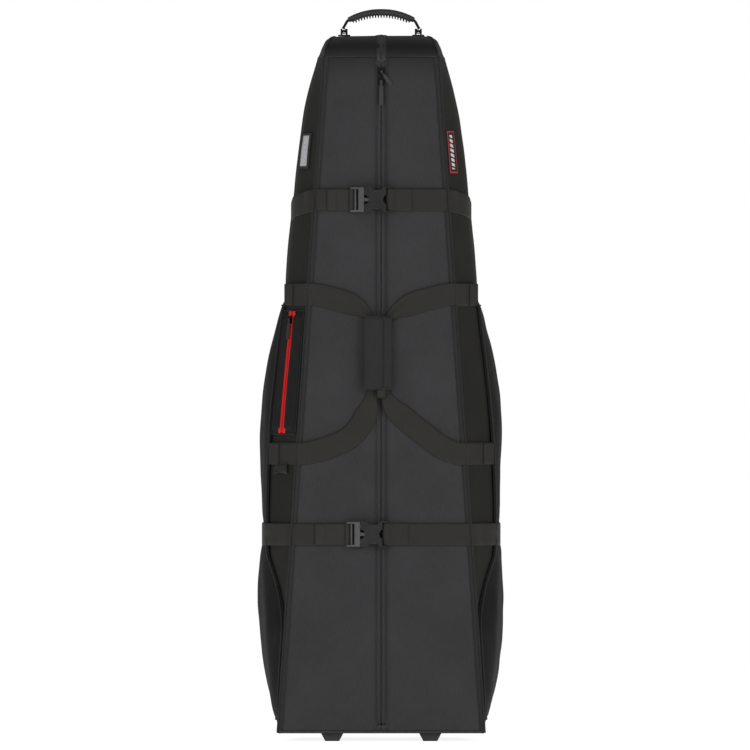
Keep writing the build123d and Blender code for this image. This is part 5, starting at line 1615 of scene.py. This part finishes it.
class CASE_OT_haul_loops(CaseOperator, bpy.types.Operator):
    """Sew the two haul loops from their anchors on the sides to the wrap grip"""
    bl_idname = "case.haul_loops"
    bl_label = "Haul loops"

    def make(self):
        anchors, thread = Build(), Build()
        for side, name in ((1, "right"), (-1, "left")):
            for s, tag in ((HAUL_UP, "upper"), (HAUL_LOW, "lower")):
                self.anchor(anchors, thread, side, s)
                self.stub(side, name, s, tag)
            self.loop(side, name)
        z = height_of(HAUL_LOW)
        tab = [on_strip(z - 12, 0.52, 1.2), on_strip(z - 22, 0.52, 1.6), on_strip(z - 31, 0.5, 2.6),
               on_strip(z - 34, 0.49, 4.0), on_strip(z - 30, 0.49, 4.8), on_strip(z - 21, 0.5, 4.6)]
        anchors.ribbon(flip(curve_through(tab, 40), -1), flip(on_strip(z, 0.8, 0) - on_strip(z, 0.2, 0), -1), 34.0, 1.6)
        anchors.piece("haul_anchor_webbing", finish("web"), "case", "webbing", ("haul_anchors",))
        thread.piece("haul_anchor_thread", finish("thread"), "case", "webbing")

    def anchor(self, b, thread, side, s):
        """The webbing sewn across the side, doubled back at its end."""
        z = height_of(s)
        share = np.linspace(0.16, 0.93, 26)
        path = on_strip(z, share, 1.7)
        b.ribbon(flip(path, side), (0, 0, 1), WEB_W, 2.0)
        fold = on_strip(z, np.linspace(0.60, 0.95, 14), 3.5)
        b.ribbon(flip(fold, side), (0, 0, 1), WEB_W - 1.5, 1.7)
        near, far = 0.64, 0.91
        corners = [on_strip(z + dz, share, 4.5) for share, dz in ((near, -15), (far, -15), (far, 15), (near, 15))]
        out = on_strip(z, 0.7, 6.0) - on_strip(z, 0.7, 5.0)
        box_stitch(thread, flip(np.array(corners), side), flip(out, side))

    def stub(self, side, name, s, tag):
        """The short run that bends round the seam between the side and the flap."""
        z = height_of(s)
        points = [on_front(seam_at(s) - 17, s + (-1.5 if tag == "upper" else 1.0), 2.5),
                  on_front(seam_at(s) - 9, s, 2.5),
                  on_front(seam_at(s) - 3, s, 3.0), on_front(seam_at(s) + 1.5, s, 2.2)]
        points += [on_strip(z, share, 1.75) for share in (0.1, 0.16, 0.22)]
        b = Build()
        b.ribbon(flip(curve_through(points, 40), side), (0, 0, 1), WEB_W, 2.0)
        start = flip(on_front(seam_at(s) + 3.5, s, 0), side)
        end = flip(on_front(seam_at(s) - 7.5, s, 0), side)
        b.piece(f"haul_stub_{tag}_{name}", finish("web"), slot="webbing", blend=("case", f"{name}_flap", start, end))

    def loop(self, side, name):
        line = haul_line(side)
        path = curve_through(line, 170)
        middle = line[6, 0]
        flat = on_front(path[:, 0], path[:, 1], 0)
        t = tangents(flat)
        across = unit(np.cross(t, OUT))
        gap = np.minimum(np.hypot(path[:, 0] - middle, path[:, 1] - (WRAP_MID + 60)),
                         np.hypot(path[:, 0] - middle, path[:, 1] - (WRAP_MID - 62)))
        inside = (np.abs(path[:, 1] - WRAP_MID) < 62) & (path[:, 0] < middle + 5)
        gap = np.where(inside, 0, gap)
        width = 14.5 + (WEB_W - 14.5) * smoothstep(gap, 0, 58)
        bunch = 1 - smoothstep(gap, 2, 60)
        h = 2.5 + 0.5 * np.sin(np.linspace(0, 9, len(path))) * smoothstep(gap, 20, 80) * smoothstep(
            seam_at(path[:, 1]) - path[:, 0], 12, 50)
        points = on_front(path[:, 0], path[:, 1], h)
        b = Build()
        self.folded(b, flip(points, side), flip(across, side), width, bunch)
        mid = 0.5 * (HAUL_UP + HAUL_LOW)
        hinge_top, hinge_low = seam_at(HAUL_UP) - 9, seam_at(HAUL_LOW) - 9
        slope = math.atan2(hinge_low - hinge_top, HAUL_UP - HAUL_LOW)
        x = 0.5 * (hinge_top + hinge_low)
        start = on_front(x - 1 * math.cos(slope), mid - 1 * math.sin(slope), 2.5)
        end = on_front(x - 24 * math.cos(slope), mid - 24 * math.sin(slope), 2.5)
        b.piece(f"haul_loop_webbing_{name}", finish("web"), slot="webbing", replaces=(f"haul_loop_{name}",),
                blend=(f"{name}_flap", f"{name}_haul", flip(start, side), flip(end, side)))

    def folded(self, b, path, across, width, bunch):
        """A band that creases lengthwise where it gathers towards the grip."""
        t = tangents(path)
        across = unit(across - t * np.sum(across * t, 1, keepdims=True))
        normal = np.cross(across, t)
        normal = np.where(np.mean(normal @ OUT) < 0, -normal, normal)
        lanes = np.array([-0.5, -0.485, -0.44, -0.32, -0.2, -0.1, 0.0, 0.1, 0.2, 0.32, 0.44, 0.485, 0.5])
        swell = np.array([0.3, 0.82, 1, 1, 1, 1, 1, 1, 1, 1, 1, 0.82, 0.3])
        crease = 1.7 * np.cos(lanes * 3.2 * np.pi) * 0.6 + 0.5
        arch = bunch[:, None] * crease[None]
        top = arch + swell[None] * 1.0
        low = arch - swell[None] * 1.0
        section_h = np.concatenate([top, low[:, ::-1]], 1)
        section_w = np.concatenate([lanes, lanes[::-1]])[None] * width[:, None]
        rings = path[:, None] + across[:, None] * section_w[..., None] + normal[:, None] * section_h[..., None]
        length = np.r_[0, np.cumsum(np.linalg.norm(np.diff(path, axis=0), axis=1))]
        weave = np.stack(np.broadcast_arrays(np.concatenate([lanes, lanes[::-1]])[None] * WEB_W, length[:, None]), -1)
        b.swept(rings, weave)


class CASE_OT_wrap_grip(CaseOperator, bpy.types.Operator):
    """Make the padded wrap that holds the haul loops together, with its closing flap"""
    bl_idname = "case.wrap_grip"
    bl_label = "Wrap grip"

    def make(self):
        self.core()
        self.flap()

    def core(self):
        """A stuffed sleeve round both bands, pinched at its ends."""
        s = np.linspace(WRAP_MID - WRAP_LEN / 2 + 0.3, WRAP_MID + WRAP_LEN / 2 - 0.3, 54)
        angle = np.linspace(0, 2 * np.pi, 56, endpoint=False)
        ends = np.minimum(s - s[0], s[-1] - s) / 10.0
        pinch = 0.80 + 0.20 * np.sqrt(np.clip(ends, 0, 1))
        half_x, low, top = 24.6, 4.3, 19.3
        c, n = np.cos(angle), np.sin(angle)
        power = 0.55
        px = np.sign(c) * np.abs(c) ** power
        ph = np.sign(n) * np.abs(n) ** power
        rings = []
        for k, at in enumerate(s):
            middle = (low + top) / 2
            wave = 0.35 * wobble(angle * 40, at + 0 * angle, 12, 0.5)
            x = WRAP_X + px * half_x * (0.95 + 0.05 * pinch[k])
            h = middle + ph * ((top - low) / 2) * pinch[k] + wave * (ph > 0)
            rings.append(on_front(x, at + 0 * x, np.clip(h, 4.0, 19.6)))
        rings = np.array(rings)
        b = Build()
        around = np.stack(np.broadcast_arrays((angle * 18)[None], s[:, None]), -1)
        b.swept(rings, around)
        b.piece("wrap_sleeve", finish("wrap"), "right_haul", "foam", ("wrap_core",), fill=0.6, sharp=60)
        cord = Build()
        for ring in (rings[1], rings[-2]):
            cord.tube(ring, 1.0, 8, closed=True)
        cord.piece("wrap_sleeve_binding", finish("piping"), "right_haul", "piping")
        tab = Build()
        path = [(WRAP_X + 6, WRAP_MID - 60, 14.0), (WRAP_X + 6, WRAP_MID - 68, 15.0), (WRAP_X + 6, WRAP_MID - 76, 12.5),
                (WRAP_X + 5.5, WRAP_MID - 80, 8.0)]
        line = curve_through(path, 20)
        tab.ribbon(on_front(line[:, 0], line[:, 1], line[:, 2]), (1, 0, 0), 15.0, 1.8)
        tab.piece("wrap_tab", finish("web"), "right_haul", "webbing")

    def flap(self):
        """The closing flap over the sleeve, its free corners rounded and its edge bound."""
        low, high, x0 = WRAP_MID - WRAP_LEN / 2 + 0.4, WRAP_MID + WRAP_LEN / 2 - 0.4, WRAP_X - 24.0
        rows, cols = 60, 22
        s = np.linspace(low, high, rows)
        corner = 11.0
        ends = np.minimum(s - low, high - s)
        inset = np.where(ends < corner, corner - np.sqrt(np.maximum(corner ** 2 - (corner - ends) ** 2, 0)), 0)
        width = 32.6 - inset
        share = np.linspace(0, 1, cols)
        x = x0 + share[None] * width[:, None]
        wrap = 1 - smoothstep(x - x0, -1, 8)
        edge = smoothstep(np.minimum((1 - share)[None] * width[:, None], ends[:, None]), 0, 4)
        h = 21.2 + 1.3 * edge - 2.6 * wrap ** 2 + 0.2 * wobble(x, s[:, None], 77, 0.4) * edge
        outer = on_front(x, s[:, None], h)
        inner = on_front(x, s[:, None], h - 1.9)
        b = Build()
        b.shell(outer, inner, cloth_lengths(outer))
        b.piece("wrap_cover", finish("wrap"), "wrap_flap", "foam", ("wrap_flap",), fill=0.4)
        bound = np.vstack([outer[0, 3:], outer[:, -1], outer[-1, 3:][::-1]])
        cord = Build()
        cord.tube(relax(resample(bound, 150), 4), 1.15, 8)
        cord.piece("wrap_cover_binding", finish("piping"), "wrap_flap", "piping")
        thread = Build()
        line = np.vstack([outer[4, 4:-4], outer[4:-4, -4], outer[-5, 4:-4][::-1]])
        thread.stitches(relax(resample(line, 120), 6) + OUT * 0.25, OUT, 3.8, 2.6, 0.32)
        thread.piece("wrap_cover_thread", finish("thread"), "wrap_flap", "piping")


# ---------------------------------------------------------------- top handle, window, badge and lining

class CASE_OT_top_handle(CaseOperator, bpy.types.Operator):
    """Mould the ribbed grab handle and finish its links and saddles"""
    bl_idname = "case.top_handle"
    bl_label = "Top handle"
    middle_y, top_z, half_length, rib_pitch = 40.0, 1318.0, 59.0, 5.3
    pin_x, pin_z = 67.0, 1278.0

    def make(self):
        count = 200
        x = np.linspace(-self.half_length, self.half_length, count)
        top = self.top_z - 15.0 * np.abs(x / self.half_length) ** 2.2
        phase = np.cos(x / self.rib_pitch * 2 * np.pi)
        taper = 1 - smoothstep(np.abs(x), 49, 58)
        depth = 9.6 + 1.8 * taper + 4.6 * smoothstep(phase, -0.5, 0.6) * taper
        half = 10.6 - 1.3 * (1 - taper) + 0.25 * phase * taper
        slope = np.arctan(np.gradient(top, x))
        angle = np.linspace(0, 2 * np.pi, 40, endpoint=False)
        c, n = np.cos(angle), np.sin(angle)
        px = np.sign(c) * np.abs(c) ** 0.62
        pz = np.sign(n) * np.abs(n) ** 0.72
        middle = top - depth / 2
        y = self.middle_y + px[None] * half[:, None]
        off = pz[None] * depth[:, None] / 2
        gx = x[:, None] - off * np.sin(slope)[:, None] * 0.9
        gz = middle[:, None] + off * np.cos(slope)[:, None]
        rings = np.stack([gx, y, np.minimum(gz, self.top_z)], -1)
        b = Build()
        around = np.stack(np.broadcast_arrays((angle * 8)[None], x[:, None]), -1)
        b.swept(rings, around)
        b.piece("handle_rubber_grip", finish("grip"), "top_handle", "grip_rubber", ("handle_grip",), sharp=60)
        ridge = Build()
        for off_y in (-6.0, 6.0):
            line = np.stack([x[14:-14], np.full(count - 28, self.middle_y + off_y),
                             top[14:-14] - 0.55], 1)
            ridge.tube(line, 0.7, 6)
        ridge.piece("handle_grip_beads", finish("grip"), "top_handle", "grip_rubber")
        self.legs()
        dress("handle_anchors", "saddle", 0.6, 2)

    def legs(self):
        """Doubled webbing from each end of the grip down round the saddle's pin."""
        b, thread = Build(), Build()
        for side in (1, -1):
            path = [(52.0, 1301.5), (57.0, 1299.5), (61.5, 1295.5), (65.5, 1288.5), (69.0, 1282.5)]
            path = curve_through(path, 40)
            line = np.stack([path[:, 0], np.full(40, self.middle_y), path[:, 1]], 1)
            b.ribbon(flip(line, side), (0, 1, 0), np.linspace(13.0, 6.2, 40), 4.6, 0.3)
            angle = np.linspace(math.radians(70), math.radians(395), 30)
            loop = np.stack([self.pin_x + 4.3 * np.cos(angle), self.middle_y + 0 * angle,
                             self.pin_z + 4.3 * np.sin(angle)], 1)
            b.ribbon(flip(loop, side), (0, 1, 0), 6.2, 1.6)
            across = np.stack([np.full(12, 64.2), np.linspace(35.5, 44.5, 12), np.full(12, 1294.5)], 1)
            thread.stitches(flip(across, side), flip((0.8, 0, 0.6), side), 2.4, 1.6, 0.3)
        b.piece("handle_leg_webbing", finish("web_dark"), "top_handle", "webbing", ("handle_legs",))
        thread.piece("handle_leg_thread", finish("thread"), "top_handle", "webbing")


class CASE_OT_labels(CaseOperator, bpy.types.Operator):
    """Fit the address window on the left and the woven badge on the right"""
    bl_idname = "case.labels"
    bl_label = "Address window and badge"

    def make(self):
        dress("window_frame", "window", 0.5, 2)
        dress("window_card", "card")
        dress("window_cover", "clear")
        self.card_lines()
        self.badge()

    def card_lines(self):
        """Four plain rules to write on."""
        b = Build()
        for z in (1046.0, 1054.0, 1062.0, 1070.0):
            share = np.linspace(0.58, 0.80, 10)
            rows = np.stack([on_strip(z - 0.35, share, 1.42), on_strip(z + 0.35, share, 1.42)])
            b.shell(flip(rows, -1), flip(rows, -1) + np.array([0.0, 0.05, 0]))
        b.piece("window_card_lines", finish("thread"), "case", "card")

    def badge(self):
        """A plain woven patch with a stitched border."""
        low, high, a, c = 1019.0, 1096.0, 0.17, 0.60
        z = np.linspace(low, high, 120)
        share = np.linspace(a, c, 44)
        gz, gs = np.meshgrid(z, share, indexing="ij")
        width = strip_length(1057.0)
        edge = np.minimum(np.minimum(gz - low, high - gz), np.minimum(gs - a, c - gs) * width)
        lift = 1.0 + 1.0 * smoothstep(edge, 0, 1.8) - 0.5 * smoothstep(edge, 3.0, 4.6)
        outer, inner = on_strip(gz, gs, lift), on_strip(gz, gs, 0.5 + 0 * lift)
        b = Build()
        b.shell(outer, inner, cloth_lengths(outer))
        obj = b.piece("side_badge", finish("badge"), "case", "badge", ("badge",))
        obj.data.materials.append(finish("badge_red"))
        obj.data.materials.append(finish("pale_thread"))
        cols = len(share)
        for face in obj.data.polygons:
            spots = [obj.data.vertices[i].co / MM for i in face.vertices]
            z_mid = sum(v.z for v in spots) / len(spots)
            i = min(face.vertices) % (len(z) * cols)
            r, k = divmod(i, cols)
            d = edge[min(r, len(z) - 1), k]
            u = (share[k] - a) / (c - a)
            v = (z_mid - low) / (high - low)
            slant = (v * 9.0 + 0.9 * u) % 1.0
            if 0.9 < d < 3.0:
                face.material_index = 1
            elif 0.28 < u < 0.70 and 0.10 < v < 0.90 and slant < 0.62 and abs(u - 0.5) < 0.21 - 0.10 * abs(v - 0.5):
                face.material_index = 2


# ---------------------------------------------------------------- panel and registration

STEPS = (CASE_OT_stage, CASE_OT_gussets, CASE_OT_back, CASE_OT_crown, CASE_OT_front_frame, CASE_OT_base,
         CASE_OT_side_pockets, CASE_OT_valuables_pocket, CASE_OT_flaps, CASE_OT_hinge_welts, CASE_OT_centre_zip,
         CASE_OT_girth_straps, CASE_OT_front_straps, CASE_OT_haul_loops, CASE_OT_wrap_grip, CASE_OT_top_handle,
         CASE_OT_labels)


class CASE_PT_panel(bpy.types.Panel):
    """The travel case's settings and steps"""
    bl_idname = "CASE_PT_panel"
    bl_label = "Golf Travel Case"
    bl_space_type = "VIEW_3D"
    bl_region_type = "UI"
    bl_category = "Travel Case"

    def draw(self, context):
        layout = self.layout
        for group, label in ((context.scene.case_sizes, "Sizes"), (context.scene.case_finishes, "Colours")):
            box = layout.box()
            box.label(text=label)
            for key in group.__annotations__:
                box.prop(group, key)
        column = layout.column(align=True)
        for step in STEPS:
            column.operator(step.bl_idname)


CLASSES = (CaseFinishes, CaseSizes, CASE_PT_panel) + STEPS


def register():
    for cls in CLASSES:
        bpy.utils.register_class(cls)
    bpy.types.Scene.case_finishes = PointerProperty(type=CaseFinishes)
    bpy.types.Scene.case_sizes = PointerProperty(type=CaseSizes)


def unregister():
    del bpy.types.Scene.case_sizes
    del bpy.types.Scene.case_finishes
    for cls in reversed(CLASSES):
        bpy.utils.unregister_class(cls)


def main():
    register()
    for step in STEPS:
        group, name = step.bl_idname.split(".")
        getattr(getattr(bpy.ops, group), name)()


if __name__ == "__main__":
    main()
